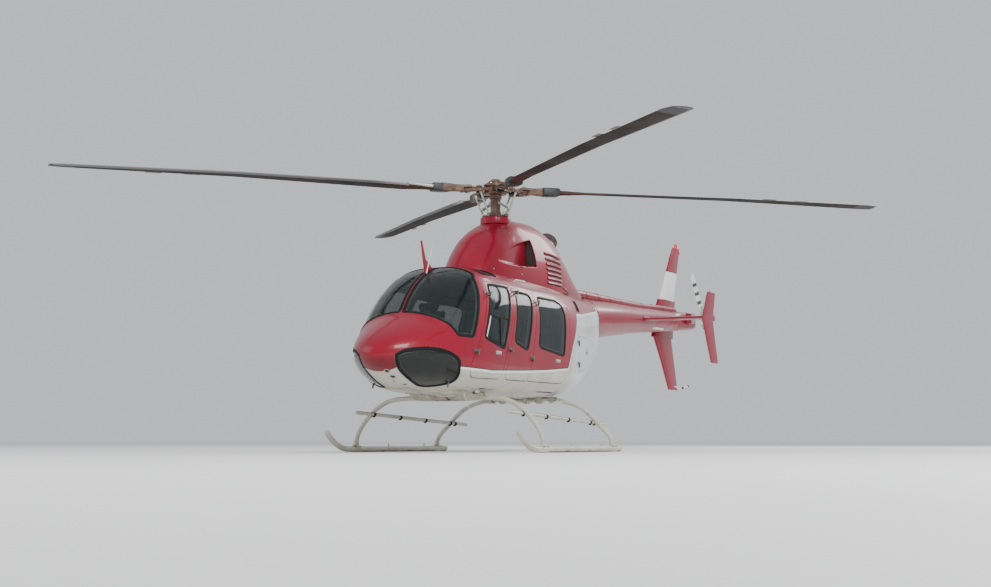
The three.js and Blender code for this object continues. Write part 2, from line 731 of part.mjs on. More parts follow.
function rotorHub() {
  const pieces = [bar([0, 0, mastFootZ + 0.5], [0, 0, rotorHubZ + 110], mastRadius),
    bar([0, 0, 2842], [0, 0, 2885], 150), bar([0, 0, rotorHubZ - 60], [0, 0, rotorHubZ + 70], 150),
    bar([0, 0, rotorHubZ + 60], [0, 0, rotorHubZ + 130], 105, 60)];
  for (let arm = 0; arm < 4; arm += 1) {
    const yoke = block(60, 430, -75, 75, rotorHubZ - 22, rotorHubZ + 22);
    const grip = block(330, bladeRootRadius - seatGap, -62, 62, rotorHubZ - 48, rotorHubZ + 48);
    const horn = bar([420, 50, rotorHubZ - 30], [262, 175, rotorHubZ - 30], 26, 20, 8);
    const lug = block(60, 142, 60, 128, 2868, 2900);
    const link = bar([125, 112, 2880], [262, 175, rotorHubZ - 30], 14, 14, 8);
    pieces.push(joined([yoke, grip, horn, lug, link]).rotate([0, 0, rotorAngle + 90 * arm]));
  }
  return joined(pieces);
}

// main blade sections: radius, chord, thickness, twist in degrees, height over the hub
const bladeTable = [
  [bladeRootRadius, 150, 62, 10, 0],
  [900, 190, 50, 9.5, 4],
  [1150, 270, 34, 9, 10],
  [3200, 270, 32, 3, 34],
  [5180, 270, 27, -2, 22],
  [rotorRadius, 215, 18, -2.5, 20],
];

function mainBlade(index) {
  const rings = bladeTable.map(([radius, chord, thickness, twist, rise]) =>
    foilOutline(0.27 * chord, -0.73 * chord, thickness).map(([along, up]) => {
      const [lead, height] = turned(along, up, twist);
      return new THREE.Vector3(radius, lead, rotorHubZ + rise + height);
    }));
  return solid(loft(rings)).rotate([0, 0, rotorAngle + 90 * index]);
}

function tailHub() {
  const { x, y, z } = tailRotorHub;
  const yoke = block(-150, 150, -20, 20, -34, 34).rotate([0, -tailRotorAngle, 0]).translate([x, y, z]);
  return joined([yoke, bar([x, y - 70 + seatGap, z], [x, y + 60, z], 34),
    bar([x, y - 25, z], [x, y + 25, z], 62)]);
}

function tailBlade(end) {
  const rows = [[150, 90, 34], [260, 160, 22], [tailRotorRadius - 40, 160, 16], [tailRotorRadius, 130, 10]];
  const rings = rows.map(([radius, chord, thickness]) => foilOutline(0.4 * chord, -0.6 * chord, thickness)
    .map(([along, out]) => new THREE.Vector3(radius + seatGap, out, along)));
  return solid(loft(rings)).rotate([0, end * 180 - tailRotorAngle, 0])
    .translate([tailRotorHub.x, tailRotorHub.y, tailRotorHub.z]);
}

const helicopter = new THREE.Group();
helicopter.name = 'helicopter';
helicopter.position.x = mastX;

function add(name, body, material) {
  const mesh = new THREE.Mesh(surfaceOf(body), material);
  mesh.name = name;
  helicopter.add(mesh);
}

const sides = [['left', 1], ['right', -1]];
const onSide = (side, body) => (side > 0 ? body : mirrored(body));

add('nose_shell', noseShell(), materials.red);
add('belly_shell', bellyShell(), materials.white);
add('cabin_frame', cabinFrame(), materials.red);
add('side_panel_right', sidePanelRight(), materials.red);
add('aft_fuselage', aftFuselage(), materials.white);
add('side_window_right', mirrored(pane(windowPrism('litter', seatGap))), materials.glass);
add('transmission_cowl', transmissionCowl(), materials.red);
add('engine_cowl', engineCowl(), materials.red);
add('exhaust_duct', exhaustDuct(), materials.metal);
add('engine_block', engineBlock(), materials.metal);
add('tail_boom', tailBoom(), materials.red);
add('vertical_fin', verticalFin(), materials.red);
add('tail_skid', tailSkid(), materials.white);
add('tail_gearbox', tailGearbox(), materials.metal);
add('stabiliser', stabiliserWing(), materials.red);
add('instrument_panel', instrumentPanel(), materials.panel);
add('rear_bench', rearBench(), materials.seat);
add('wire_cutter', wireCutter(), materials.red);
add('mast_base', mastBase(), materials.metal);
add('cross_tube_front', crossTube('front'), materials.gearPaint);
add('cross_tube_rear', crossTube('rear'), materials.gearPaint);
add('baggage_door', baggageDoor(), materials.white);
add('litter_door', litterDoor(), materials.red);
add('litter_window', pane(windowPrism('litter', seatGap)), materials.glass);
for (const [label, side] of sides) {
  add(`windshield_${label}`, onSide(side, pane(windshieldPrism(seatGap))), materials.glass);
  add(`chin_window_${label}`, onSide(side, pane(chinPrism(seatGap))), materials.glass);
  add(`roof_window_${label}`, onSide(side, pane(roofWindowPrism(seatGap))), materials.glass);
  add(`crew_seat_${label}`, crewSeat(side), materials.seat);
  add(`finlet_${label}`, uprightFoil(finletTable, side * finletY), materials.red);
  add(`skid_${label}`, skid(side), materials.gearPaint);
  add(`step_${label}`, flightStep(side), materials.gearPaint);
  for (const name of ['crew', 'passenger']) {
    add(`${name}_door_${label}`, onSide(side, door(name)), materials.red);
    add(`${name}_window_${label}`, onSide(side, pane(windowPrism(name, seatGap))), materials.glass);
  }
}
add('rotor_hub', rotorHub(), materials.hubMetal);
for (let index = 0; index < 4; index += 1) {
  add(`main_blade_${index + 1}`, mainBlade(index), materials.blade);
}
add('tail_rotor_hub', tailHub(), materials.metal);
for (let index = 0; index < 2; index += 1) {
  add(`tail_blade_${index + 1}`, tailBlade(index), materials.stripedBlade);
}

export default helicopter;
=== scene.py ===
import math
import bpy
import numpy as np
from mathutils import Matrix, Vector
from mathutils.bvhtree import BVHTree
from mathutils.geometry import delaunay_2d_cdt


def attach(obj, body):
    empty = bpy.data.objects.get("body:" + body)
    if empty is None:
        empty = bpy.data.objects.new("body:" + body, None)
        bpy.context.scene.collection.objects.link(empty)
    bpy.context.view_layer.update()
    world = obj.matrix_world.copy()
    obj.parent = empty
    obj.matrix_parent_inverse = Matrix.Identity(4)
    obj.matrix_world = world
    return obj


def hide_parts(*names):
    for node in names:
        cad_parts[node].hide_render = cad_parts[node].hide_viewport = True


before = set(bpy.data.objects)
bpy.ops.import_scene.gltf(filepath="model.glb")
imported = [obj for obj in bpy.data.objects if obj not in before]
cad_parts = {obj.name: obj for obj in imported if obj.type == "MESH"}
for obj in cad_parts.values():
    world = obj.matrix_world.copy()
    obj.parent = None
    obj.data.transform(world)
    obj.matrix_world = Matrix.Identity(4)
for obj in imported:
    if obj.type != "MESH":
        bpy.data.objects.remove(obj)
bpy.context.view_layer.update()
print("frame loaded:", len(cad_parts), "solids")

# All shapes are worked out in millimetres with +x to the nose, +y left and z up, x counted from the mast.
mastX = 1697


def unit(vectors):
    return vectors / np.maximum(np.linalg.norm(vectors, axis=-1, keepdims=True), 1e-9)


# A part is (points, [face arrays]); every row of a face array is one face's corners.
def joinParts(parts):
    starts = np.cumsum([0] + [len(points) for points, _ in parts])
    faces = [f + start for (_, group), start in zip(parts, starts) for f in group]
    return np.vstack([points for points, _ in parts]), faces


def flipped(part):
    return part[0], [f[:, ::-1] for f in part[1]]


# Six times the volume is the sum of a . (b x c) over the faces' fan triangles; below zero it is inside out.
def turnedOut(part):
    points, faces = part
    volume = sum(np.sum(points[f[:, 0]] * np.cross(points[f[:, k]], points[f[:, k + 1]]))
                 for f in faces for k in range(1, f.shape[1] - 1))
    return part if volume > 0 else flipped(part)


# points[row, column] on a grid; neighbours are joined by four-sided faces, and caps close a tube's two ends.
def gridPart(grid, closed=False, caps=False, ring=False):
    rows, columns = grid.shape[:2]
    index = np.arange(rows * columns).reshape(rows, columns)
    around = np.hstack([index, index[:, :1]]) if closed else index
    around = np.vstack([around, around[:1]]) if ring else around
    quads = np.stack([around[:-1, :-1], around[:-1, 1:], around[1:, 1:], around[1:, :-1]], -1).reshape(-1, 4)
    faces = [quads] + ([index[:1, ::-1], index[-1:]] if caps else [])
    return grid.reshape(-1, 3), faces


def loftPart(grid):
    return turnedOut(gridPart(grid, closed=True, caps=True))


def mirrorPart(part):
    return flipped((part[0] * (1, -1, 1), part[1]))


# A part drawn for the left side, set on a side: "left" or 1, "right" or -1.
def onSide(part, side):
    return part if side in ("left", 1) else mirrorPart(part)


# Rodrigues' formula: v cos a + (k x v) sin a + k (k . v)(1 - cos a), about an axis through a point.
def turnPart(part, degrees, axis=(0, 0, 1), about=(0, 0, 0)):
    k, v = unit(np.array(axis, float)), part[0] - about
    c, s = math.cos(math.radians(degrees)), math.sin(math.radians(degrees))
    return v * c + np.cross(k, v) * s + np.outer(v @ k, k) * (1 - c) + about, part[1]


def turnParts(parts, degrees):
    return [turnPart(part, degrees) for part in parts]


def movePart(part, offset):
    return part[0] + np.array(offset, float), part[1]


def circle(sides, radius=1.0):
    a = (np.arange(sides) + 0.5) * 2 * np.pi / sides
    return radius * np.stack([np.cos(a), np.sin(a)], -1)


# A section's two numbers are carried along a path: across it, and square to both; scale widens it by point.
def sweepPart(path, section, up=(0, 0, 1), scale=1.0, ring=False):
    path = np.asarray(path, float)
    tangent = unit(np.roll(path, -1, 0) - np.roll(path, 1, 0) if ring else np.gradient(path, axis=0))
    side = unit(np.cross(tangent, np.broadcast_to(np.asarray(up, float), path.shape)))
    top = np.cross(side, tangent)
    wide = np.broadcast_to(np.asarray(scale, float), (len(path),))[:, None, None] * np.asarray(section)[None]
    grid = path[:, None] + wide[..., :1] * side[:, None] + wide[..., 1:] * top[:, None]
    return turnedOut(gridPart(grid, closed=True, caps=not ring, ring=ring))


# A straight round bar, tapered where it has a second radius, with both ends drawn in over a small bevel.
def barPart(start, end, radius, sides, endRadius=None, bevel=2.0):
    start, end = np.array(start, float), np.array(end, float)
    length = np.linalg.norm(end - start)
    endRadius = radius if endRadius is None else endRadius
    bevel = min(bevel, length / 3, radius / 3, endRadius / 3)
    at = np.array([0, bevel, length - bevel, length]) / length
    radii = np.array([radius - bevel, radius, endRadius, endRadius - bevel])
    direction = unit(end - start)
    up = (1, 0, 0) if abs(direction[2]) > 0.9 else (0, 0, 1)
    return sweepPart(start + at[:, None] * (end - start), circle(sides), up, radii)


# A profile of (radius, height) rows turned about an axis through a point; a ring's profile is a closed line.
def turnedProfile(profile, origin=(0, 0, 0), axis=(0, 0, 1), sides=48, ring=False):
    profile = np.array(profile, float)
    k = unit(np.array(axis, float))
    side = unit(np.cross(k, (0, 1, 0) if abs(k[1]) < 0.9 else (1, 0, 0)))
    other = np.cross(k, side)
    a = np.arange(sides) * 2 * np.pi / sides
    spoke = np.cos(a)[:, None] * side + np.sin(a)[:, None] * other
    grid = np.array(origin, float) + profile[:, None, :1] * spoke + profile[:, None, 1:] * k
    return turnedOut(gridPart(grid, closed=True, caps=not ring, ring=ring))


def chordLengths(points):
    return np.concatenate([[0], np.cumsum(np.linalg.norm(np.diff(points, axis=0), axis=1))])


# Cubic pieces between knots: at t of the way along a piece, its two values and slopes are blended.
def cubicPieces(knots, values, slopes, at):
    i = np.clip(np.searchsorted(knots, at, side="right") - 1, 0, len(knots) - 2)
    step = (knots[i + 1] - knots[i])[..., None]
    t = (at - knots[i])[..., None] / step
    return ((2 * t**3 - 3 * t**2 + 1) * values[i] + (t**3 - 2 * t**2 + t) * step * slopes[i]
            + (3 * t**2 - 2 * t**3) * values[i + 1] + (t**3 - t**2) * step * slopes[i + 1])


# A smooth line through points, with each slope taken from the neighbours.
def smoothLine(points, count):
    points = np.array(points, float)
    knots = chordLengths(points)
    return cubicPieces(knots, points, np.gradient(points, knots, axis=0), np.linspace(0, knots[-1], count))


# A rectangle with round corners: four quarter circles, one after another.
def roundRect(width, height, radius):
    a = np.arange(4)[:, None] * np.pi / 2 + np.linspace(0, np.pi / 2, 5)
    middles = np.array([(1, 1), (-1, 1), (-1, -1), (1, -1)]) * (width / 2 - radius, height / 2 - radius)
    return (middles[:, None] + radius * np.stack([np.cos(a), np.sin(a)], -1)).reshape(-1, 2)


# A block with every edge rounded: rounded rectangles that draw in over a quarter circle at both ends.
def softBlock(low, high, radius, steps=4):
    low, high = np.array(low, float), np.array(high, float)
    size = high - low
    radius = min(radius, *(size * 0.49))
    a = np.linspace(0, np.pi / 2, steps)
    insets = np.concatenate([radius * (1 - np.sin(a)), radius * (1 - np.cos(a))])
    heights = np.concatenate([radius * (1 - np.cos(a)), size[2] - radius * (1 - np.sin(a))])
    base = roundRect(size[0], size[1], radius)
    shrink = 1 - 2 * insets[:, None] / size[None, :2]
    grid = np.zeros((len(insets), len(base), 3))
    grid[..., :2] = base[None] * shrink[:, None] + (low + high)[:2] / 2
    grid[..., 2] = heights[:, None] + low[2]
    return loftPart(grid)


# Moves a closed outline inwards: each point goes along the middle of its two edges' inward normals.
def insetLoop(points, amount):
    points = np.asarray(points, float)
    ahead = np.roll(points, -1, 0)
    turning = np.sum(points[:, 0] * ahead[:, 1] - ahead[:, 0] * points[:, 1])
    run = unit(ahead - points)
    second = np.stack([-run[:, 1], run[:, 0]], -1)
    first = np.roll(second, 1, 0)
    middle = unit(first + second)
    reach = np.sign(turning) * amount / np.maximum(np.sum(middle * first, 1), 0.3)
    return points + middle * reach[:, None]


# Each corner b becomes the curve (1 - t)^2 a + 2 t (1 - t) b + t^2 c, from a reach before it to one after.
def roundedOutline(corners, reach, gap=11.0):
    corners = np.array(corners, float)
    back, ahead = np.roll(corners, 1, 0) - corners, np.roll(corners, -1, 0) - corners
    reach = np.broadcast_to(np.asarray(reach, float), len(corners))
    cutBack = np.minimum(reach, 0.45 * np.linalg.norm(back, axis=1))[:, None]
    cutAhead = np.minimum(reach, 0.45 * np.linalg.norm(ahead, axis=1))[:, None]
    t = np.linspace(0, 1, 7)[None, :, None]
    start, end = (corners + unit(back) * cutBack)[:, None], (corners + unit(ahead) * cutAhead)[:, None]
    curve = (1 - t) ** 2 * start + 2 * t * (1 - t) * corners[:, None] + t**2 * end
    return densified(curve.reshape(-1, 2), gap)


# A line with points added about a gap apart; its own points stay, and none is added close to one of them.
def densified(line, gap, closed=True):
    line = np.vstack([line, line[:1]]) if closed else np.asarray(line, float)
    line = line[np.append(True, np.linalg.norm(np.diff(line, axis=0), axis=1) > 0.01)]
    length = chordLengths(line)
    extra = np.arange(0, length[-1], gap)
    near = np.min(np.abs(extra[:, None] - length[None]), 1)
    at = np.sort(np.concatenate([length, extra[near > 0.4 * gap]]))
    at = at[np.append(True, np.diff(at) > 1e-6)]
    dense = np.stack([np.interp(at, length, line[:, i]) for i in range(line.shape[1])], -1)
    return dense[:-1] if closed else dense


# A flat plate over an outline, between two heights, with bevelled edges; lay sets it in space.
def platePart(outline, low, high, bevel, lay):
    outer, inner = np.asarray(outline, float), insetLoop(outline, bevel)
    rows = [(inner, low), (outer, low + bevel), (outer, high - bevel), (inner, high)]
    grid = np.stack([np.concatenate([o, np.full((len(o), 1), h)], 1) for o, h in rows])
    points, faces = gridPart(grid, closed=True, caps=True)
    return turnedOut((lay(points), faces))


def sideLay(points):
    return points[:, [0, 2, 1]]


# Sets a part made at the origin on a place: its z points outward, and its x along the run where that allows.
def seated(part, place, outward, run=(1, 0, 0)):
    outward = unit(np.array(outward, float))
    run = unit(np.array(run, float) - outward * np.dot(run, outward))
    basis = np.stack([run, np.cross(outward, run), outward])
    return part[0] @ basis + np.array(place, float), part[1]


def scattered(part, places, outwards):
    return joinParts([seated(part, place, outward) for place, outward in zip(places, outwards)])


def screw(radius, height, sides=8):
    return turnedProfile([(radius, -1), (radius, height * 0.6), (radius * 0.7, height)], sides=sides)


def bothParts(parts):
    return parts + [mirrorPart(part) for part in parts]


# A piece: finish is a key of finishes, node the solid it stands for, crease the angle of a sharp edge.
def makePiece(name, parts, finish, body="airframe", node=None, slot=None, crease=32):
    points, faces = joinParts(parts)
    mesh = bpy.data.meshes.new(name)
    mesh.from_pydata(((points + (mastX, 0, 0)) / 1000).tolist(), [],
                     [f for group in faces for f in group.tolist()])
    mesh.validate()
    mesh.polygons.foreach_set("use_smooth", np.ones(len(mesh.polygons), bool))
    mesh.set_sharp_from_angle(angle=math.radians(crease))
    mesh.materials.append(finishes[finish])
    piece = bpy.data.objects.new(name, mesh)
    bpy.context.scene.collection.objects.link(piece)
    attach(piece, body)
    if node:
        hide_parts(node)
    return piece


# An output socket of a shader node; arithmetic on it adds the Math nodes.
class Signal:
    def __init__(self, finish, socket):
        self.finish, self.socket = finish, socket

    def __add__(self, other):
        return self.finish.math("ADD", self, other)

    def __sub__(self, other):
        return self.finish.math("SUBTRACT", self, other)

    def __rsub__(self, other):
        return self.finish.math("SUBTRACT", other, self)

    def __mul__(self, other):
        return self.finish.math("MULTIPLY", self, other)

    def __truediv__(self, other):
        return self.finish.math("DIVIDE", self, other)

    __radd__, __rmul__ = __add__, __mul__

    def __abs__(self):
        return self.finish.math("ABSOLUTE", self)

    def above(self, edge, soft):  # 0 below the edge and 1 above it, over a soft width
        return self.finish.clamped((self - edge) / soft + 0.5)

    def below(self, edge, soft):
        return self.finish.clamped((edge - self) / soft + 0.5)

    def inside(self, low, high, soft):
        return self.above(low, soft) * self.below(high, soft)

    def least(self, other):
        return self.finish.math("MINIMUM", self, other)

    def most(self, other):
        return self.finish.math("MAXIMUM", self, other)


# A material: its nodes are added by one method, which sets a node's own settings before its sockets.
class Finish:
    def __init__(self, name):
        self.material = bpy.data.materials.new(name)
        self.material.use_nodes = True
        self.tree = self.material.node_tree
        self.tree.nodes.clear()
        self.where = self.node("ShaderNodeTexCoord", {}, {}, "Object")
        axes = self.node("ShaderNodeSeparateXYZ", {}, {0: self.where}, None)
        self.x = Signal(self, axes.outputs[0]) - mastX / 1000
        self.y, self.z = Signal(self, axes.outputs[1]), Signal(self, axes.outputs[2])

    def node(self, kind, settings, sockets, output=0):
        made = self.tree.nodes.new(kind)
        for key, value in settings.items():
            if key == "stops":
                ramp = made.color_ramp
                while len(ramp.elements) < len(value):
                    ramp.elements.new(0.5)
                for element, (position, colour) in zip(ramp.elements, value):
                    element.position, element.color = position, colour
            else:
                setattr(made, key, value)
        for key, value in sockets.items():
            if isinstance(value, Signal):
                self.tree.links.new(value.socket, made.inputs[key])
            else:
                made.inputs[key].default_value = value
        return made if output is None else Signal(self, made.outputs[output])

    def math(self, operation, *values):
        return self.node("ShaderNodeMath", {"operation": operation}, dict(enumerate(values)))

    def clamped(self, value):
        return self.node("ShaderNodeClamp", {}, {0: value})

    def mix(self, share, first, second):
        return self.node("ShaderNodeMix", {"data_type": "RGBA"},
                         {0: share, 6: colour(first), 7: colour(second)}, 2)

    def noise(self, scale, detail, roughness, stretch=(1, 1, 1)):
        at = self.node("ShaderNodeMapping", {}, {0: self.where, 3: stretch})
        return self.node("ShaderNodeTexNoise", {}, {"Vector": at, "Scale": scale, "Detail": detail,
                                                    "Roughness": roughness})

    def nearest(self, value, places):  # distance to the nearest of some places
        found = None
        for place in places:
            gap = abs(value - place)
            found = gap if found is None else found.least(gap)
        return found

    # A row of dots: the root of the squares of the distances to the row and to the nearest pitch mark.
    def rivets(self, along, across, pitch=0.025):
        step = self.math("PINGPONG", along, pitch / 2)
        return self.math("SQRT", step * step + across * across).below(0.0035, 0.00175)

    # A line drawn through (place, height) points: a ramp's greys are the heights, scaled to 0..1.
    def curve(self, value, points):
        points = sorted(points)
        places, heights = np.array(points).T
        low, span, base, rise = places[0], np.ptp(places), heights.min(), max(np.ptp(heights), 1e-6)
        stops = [((p - low) / span, (*[(h - base) / rise] * 3, 1)) for p, h in points]
        grey = self.node("ShaderNodeValToRGB", {"stops": stops}, {0: (value - low) / span})
        return grey * rise + base

    def bump(self, height, distance, strength):
        return self.node("ShaderNodeBump", {},
                         {"Strength": strength, "Distance": distance, "Height": height})

    def done(self, **sockets):
        names = {"colour": "Base Color", "roughness": "Roughness", "metallic": "Metallic",
                 "normal": "Normal", "coat": "Coat Weight", "coatRoughness": "Coat Roughness",
                 "alpha": "Alpha", "sheen": "Sheen Weight", "level": "Specular IOR Level",
                 "glow": "Emission Color", "glowStrength": "Emission Strength"}
        wires = {names[key]: colour(value) if key in ("colour", "glow") else value
                 for key, value in sockets.items()}
        shader = self.node("ShaderNodeBsdfPrincipled", {}, wires)
        self.node("ShaderNodeOutputMaterial", {}, {0: shader}, None)
        return self.material


def colour(value):
    return (*value, 1.0) if isinstance(value, tuple) and len(value) == 3 else value


paints = {
    # Painted light in the body whites: "white" is dimmed to a grey cream as painted shade, and the aft white
    # is tinted blue as a painted sky reflection.
    "red": (0.27, 0.0010, 0.019), "deepRed": (0.15, 0.001, 0.010), "white": (0.56, 0.55, 0.48),
    # "belly" is a darker cream for the underside, part dirt and part painted shade.
    "aftWhiteSkyReflection": (0.64, 0.69, 0.72), "brightWhite": (0.84, 0.85, 0.85), "belly": (0.50, 0.475, 0.375),
    "line": (0.03, 0.012, 0.018), "grime": (0.13, 0.105, 0.075), "emblem": (0.30, 0.010, 0.018),
}
livery = {  # metres, x from the mast
    "edge": [(-2.6, 1.86), (-1.9, 1.78), (-1.3, 1.72), (-0.975, 1.70), (-0.941, 1.62), (-0.675, 1.28),
             (-0.50, 0.993), (0.157, 0.946), (0.883, 0.912), (1.556, 0.889), (2.20, 0.915), (2.90, 0.98)],
    "whiteLine": 0.024, "darkLine": 0.012, "emblem": 0.29, "noseWedge": 2.775,
    # grimy patches under the body: place, reach and strength
    "stains": [(1.22, -0.05, 0.16, 0.62, 0.9), (1.36, -0.12, 0.16, 0.30, 0.55),
               (1.44, 0.12, 0.12, 0.12, 0.8), (1.50, 0.45, 0.22, 0.14, 0.5), (-0.72, 0.10, 0.15, 0.5, 0.9),
               (-1.5, 0.05, 0.9, 0.2, 0.6), (0.2, -0.35, 0.9, 0.1, 0.35), (2.2, 0.0, 0.25, 0.16, 0.35)],
    "rowsAlong": [0.845, 1.965], "rowsUp": [-0.66, -0.60, -1.53, -2.06, -2.42],
}


# Body paint: red over white, parted by a dark and a bright line along the side and up behind the doors.
def liveryPaint():
    f = Finish("liveryPaint")
    x, y, z = f.x, f.y, f.z
    high = z - f.curve(x, livery["edge"])
    grime, fine, speckle = f.noise(3.0, 5, 0.6), f.noise(24.0, 4, 0.6), f.noise(160.0, 2, 0.5)
    streaks = f.noise(6.0, 6, 0.7, (0.16, 2.4, 1.0))
    # Under the body the paint turns a darker cream, part dirt and part painted shade; the same mask weights
    # the dirt streaks.
    belly = z.below(0.735, 0.06) * x.inside(-0.9, 2.45, 0.3)
    # The sides' white is dimmed as painted shade; towards the rear it turns a bluish white, a painted sky
    # reflection.
    lower = f.mix(x.below(-0.75, 0.5), paints["white"], paints["aftWhiteSkyReflection"])
    lower = f.mix(belly, lower, paints["belly"])
    lower = f.mix(grime.above(0.52, 0.25) * 0.2 + streaks.above(0.55, 0.25) * belly * 0.3, lower,
                  paints["grime"])
    dirt = None
    for px, py, rx, ry, amount in livery["stains"]:
        u, v = (x - px) / rx, (y - py) / ry
        patch = f.math("SQRT", u * u + v * v).below(0.75, 0.7) * amount
        dirt = patch if dirt is None else dirt.most(patch)
    dirt = dirt * z.below(1.0, 0.1) * (streaks * 0.6 + fine * 0.7).above(0.60, 0.3)
    lower = f.mix(dirt, lower, paints["grime"])
    upper = f.mix(grime.above(0.50, 0.3) * 0.28, paints["red"], paints["deepRed"])
    # Low on the front of the nose the red turns a darker maroon, mottled by noise.
    under = z.below(1.02, 0.06) * x.above(2.6, 0.1)
    upper = f.mix(under * (fine.above(0.45, 0.3) * 0.45 + 0.3), upper, (0.10, 0.006, 0.006))
    white, dark = livery["whiteLine"], livery["darkLine"]
    tint = f.mix(high.above(0.0, 0.003), lower, paints["brightWhite"])
    tint = f.mix(high.above(white, 0.003), tint, paints["line"])
    wedge = x.above(livery["noseWedge"], 0.004) * abs(y).below(0.24, 0.01)
    tint = f.mix(high.above(white + dark, 0.003).most(wedge), tint, upper)
    away = f.math("SQRT", (x - livery["emblem"]) * (x - livery["emblem"]) + y * y)
    flat = z.below(0.80, 0.02)
    for reach, ring in ((0.40, "line"), (0.385, "brightWhite"), (0.362, "emblem")):
        tint = f.mix(away.below(reach, 0.003) * flat, tint, paints[ring])
    across, along = abs(y), abs(x - livery["emblem"])
    cross = (along.below(0.075, 0.003) * across.below(0.24, 0.003)).most(
        along.below(0.24, 0.003) * across.below(0.075, 0.003))
    tint = f.mix(cross * flat, tint, paints["brightWhite"])
    tint = f.mix((grime.above(0.5, 0.3) * 0.25 + dirt * 0.6) * flat * away.below(0.40, 0.01), tint,
                 paints["grime"])
    rows = f.rivets(x, f.nearest(z, livery["rowsAlong"])).most(f.rivets(z, f.nearest(x, livery["rowsUp"])))
    tint = f.mix(rows * 0.25, tint, paints["grime"])
    rough = 0.24 + grime * 0.16 + speckle * 0.04 + dirt * 0.3
    return f.done(colour=tint, roughness=f.clamped(rough), coat=0.3, coatRoughness=0.04, level=0.25,
                  normal=f.bump(fine * 0.4 + speckle * 0.15 + rows * 1.5, 0.0007, 0.4))


# Red paint for cowls, boom and fins: seams and rivet rows at the places given, and bands of white by height.
def redPaint(name="redPaint", seams=(), bands=()):
    f = Finish(name)
    grime, speckle, fine = f.noise(4.0, 5, 0.6), f.noise(140.0, 2, 0.5), f.noise(30.0, 4, 0.6)
    tint = f.mix(grime.above(0.5, 0.3) * 0.32, paints["red"], paints["deepRed"])
    for low, high in bands:
        tint = f.mix(f.z.inside(low - 0.012, high + 0.012, 0.003), tint, paints["line"])
        tint = f.mix(f.z.inside(low, high, 0.003), tint, paints["brightWhite"])
    height = speckle * 0.2 + fine * 0.1
    if seams:
        gap = f.nearest(f.x, seams)
        line = gap.below(0.0016, 0.001)
        rows = f.rivets(f.z, abs(gap - 0.014), 0.03)
        tint = f.mix(line.most(rows * 0.35), tint, (0.06, 0.004, 0.008))
        height = height + rows * 1.2 - line * 2.0
    return f.done(colour=tint, roughness=0.25 + grime * 0.18, coat=0.3, coatRoughness=0.04, level=0.25,
                  normal=f.bump(height, 0.0006, 0.4))


# White tail rotor blades with black bands that lie askew across them.
def bandedPaint():
    f = Finish("bandedPaint")
    c, s = math.cos(math.radians(52)), math.sin(math.radians(52))
    u, w = f.x + 6.54, f.z - 2.04
    along, chord = abs(u * c + w * s), (w * c - u * s)
    place = along + chord * 0.45
    band = f.math("PINGPONG", place - 0.30, 0.082).below(0.031, 0.004) * place.inside(0.25, 0.69, 0.01)
    wear = f.noise(18.0, 4, 0.6)
    tint = f.mix(band, (0.74, 0.74, 0.70), (0.02, 0.02, 0.022))
    tint = f.mix(wear.above(0.58, 0.2) * 0.3, tint, (0.30, 0.27, 0.22))
    return f.done(colour=tint, roughness=0.32 + wear * 0.2, normal=f.bump(wear, 0.0004, 0.4))


# Main blade paint: dark brown to black with dusty streaks along the span, and paint worn thin near the root.
# The strip along the leading edge is metal all along; it is painted bright near the root and dark further
# out, a painted highlight of the sun's glint.
def bladePaint(name, strip=False):
    f = Finish(name)
    out = f.math("SQRT", f.x * f.x + f.y * f.y)
    dust, fine = f.noise(2.2, 5, 0.65), f.noise(70.0, 3, 0.6)
    tint = f.mix(dust.above(0.46, 0.3) * 0.8, (0.016, 0.014, 0.015), (0.060, 0.046, 0.042))
    tint = f.mix(out.below(1.25, 0.5) * (0.35 + fine * 0.5), tint, (0.10, 0.045, 0.030))
    tint = f.mix(out.above(5.05, 0.01) * 0.5, tint, (0.12, 0.12, 0.13))
    metalAndGlint = 0.0
    if strip:
        # Painted highlight: the glint near the root is painted into the strip's colour and metal share.
        metalAndGlint = out.below(1.25, 0.6) * 0.7 + 0.2
        tint = f.mix(metalAndGlint, (0.035, 0.034, 0.036), (0.80, 0.79, 0.77))
    return f.done(colour=tint, roughness=0.6 + dust * 0.2, level=0.08, metallic=metalAndGlint,
                  normal=f.bump(fine + dust, 0.0004, 0.4))


def plainFinish(name, tint, second, scale, roughness, metallic=0.0, bumpScale=80.0, coat=0.0, level=0.5):
    f = Finish(name)
    wear, grain = f.noise(scale, 5, 0.6), f.noise(bumpScale, 3, 0.55)
    return f.done(colour=f.mix(wear.above(0.5, 0.35), tint, second),
                  roughness=roughness + grain * 0.18 - 0.09, metallic=metallic, coat=coat, level=level,
                  normal=f.bump(grain, 0.0005, 0.5))


# Metal browned by heat towards the mouth of the exhaust.
def heatedSteel():
    f = Finish("heatedSteel")
    wear, grain = f.noise(9.0, 5, 0.65), f.noise(60.0, 3, 0.6)
    tint = f.mix(f.z.above(2.60, 0.22), (0.34, 0.29, 0.23), (0.20, 0.12, 0.13))
    tint = f.mix((wear + f.z * 0.3 - 0.8).above(0.5, 0.3), tint, (0.07, 0.06, 0.06))
    return f.done(colour=tint, roughness=0.34 + wear * 0.25, metallic=0.9,
                  normal=f.bump(grain + wear, 0.0005, 0.4))


# Woven cloth: two sets of fine ribs that cross, over slow changes of tone.
def wovenCloth(name, tint, second):
    f = Finish(name)
    ribs = (f.math("PINGPONG", f.x + f.z * 0.6, 0.0016) + f.math("PINGPONG", f.y, 0.0016)) / 0.0032
    worn, fuzz = f.noise(7.0, 4, 0.6), f.noise(420.0, 2, 0.5)
    return f.done(colour=f.mix(worn.above(0.5, 0.4), tint, second), roughness=0.8 + fuzz * 0.15, sheen=0.25,
                  normal=f.bump(ribs + fuzz * 0.6, 0.0006, 0.6))


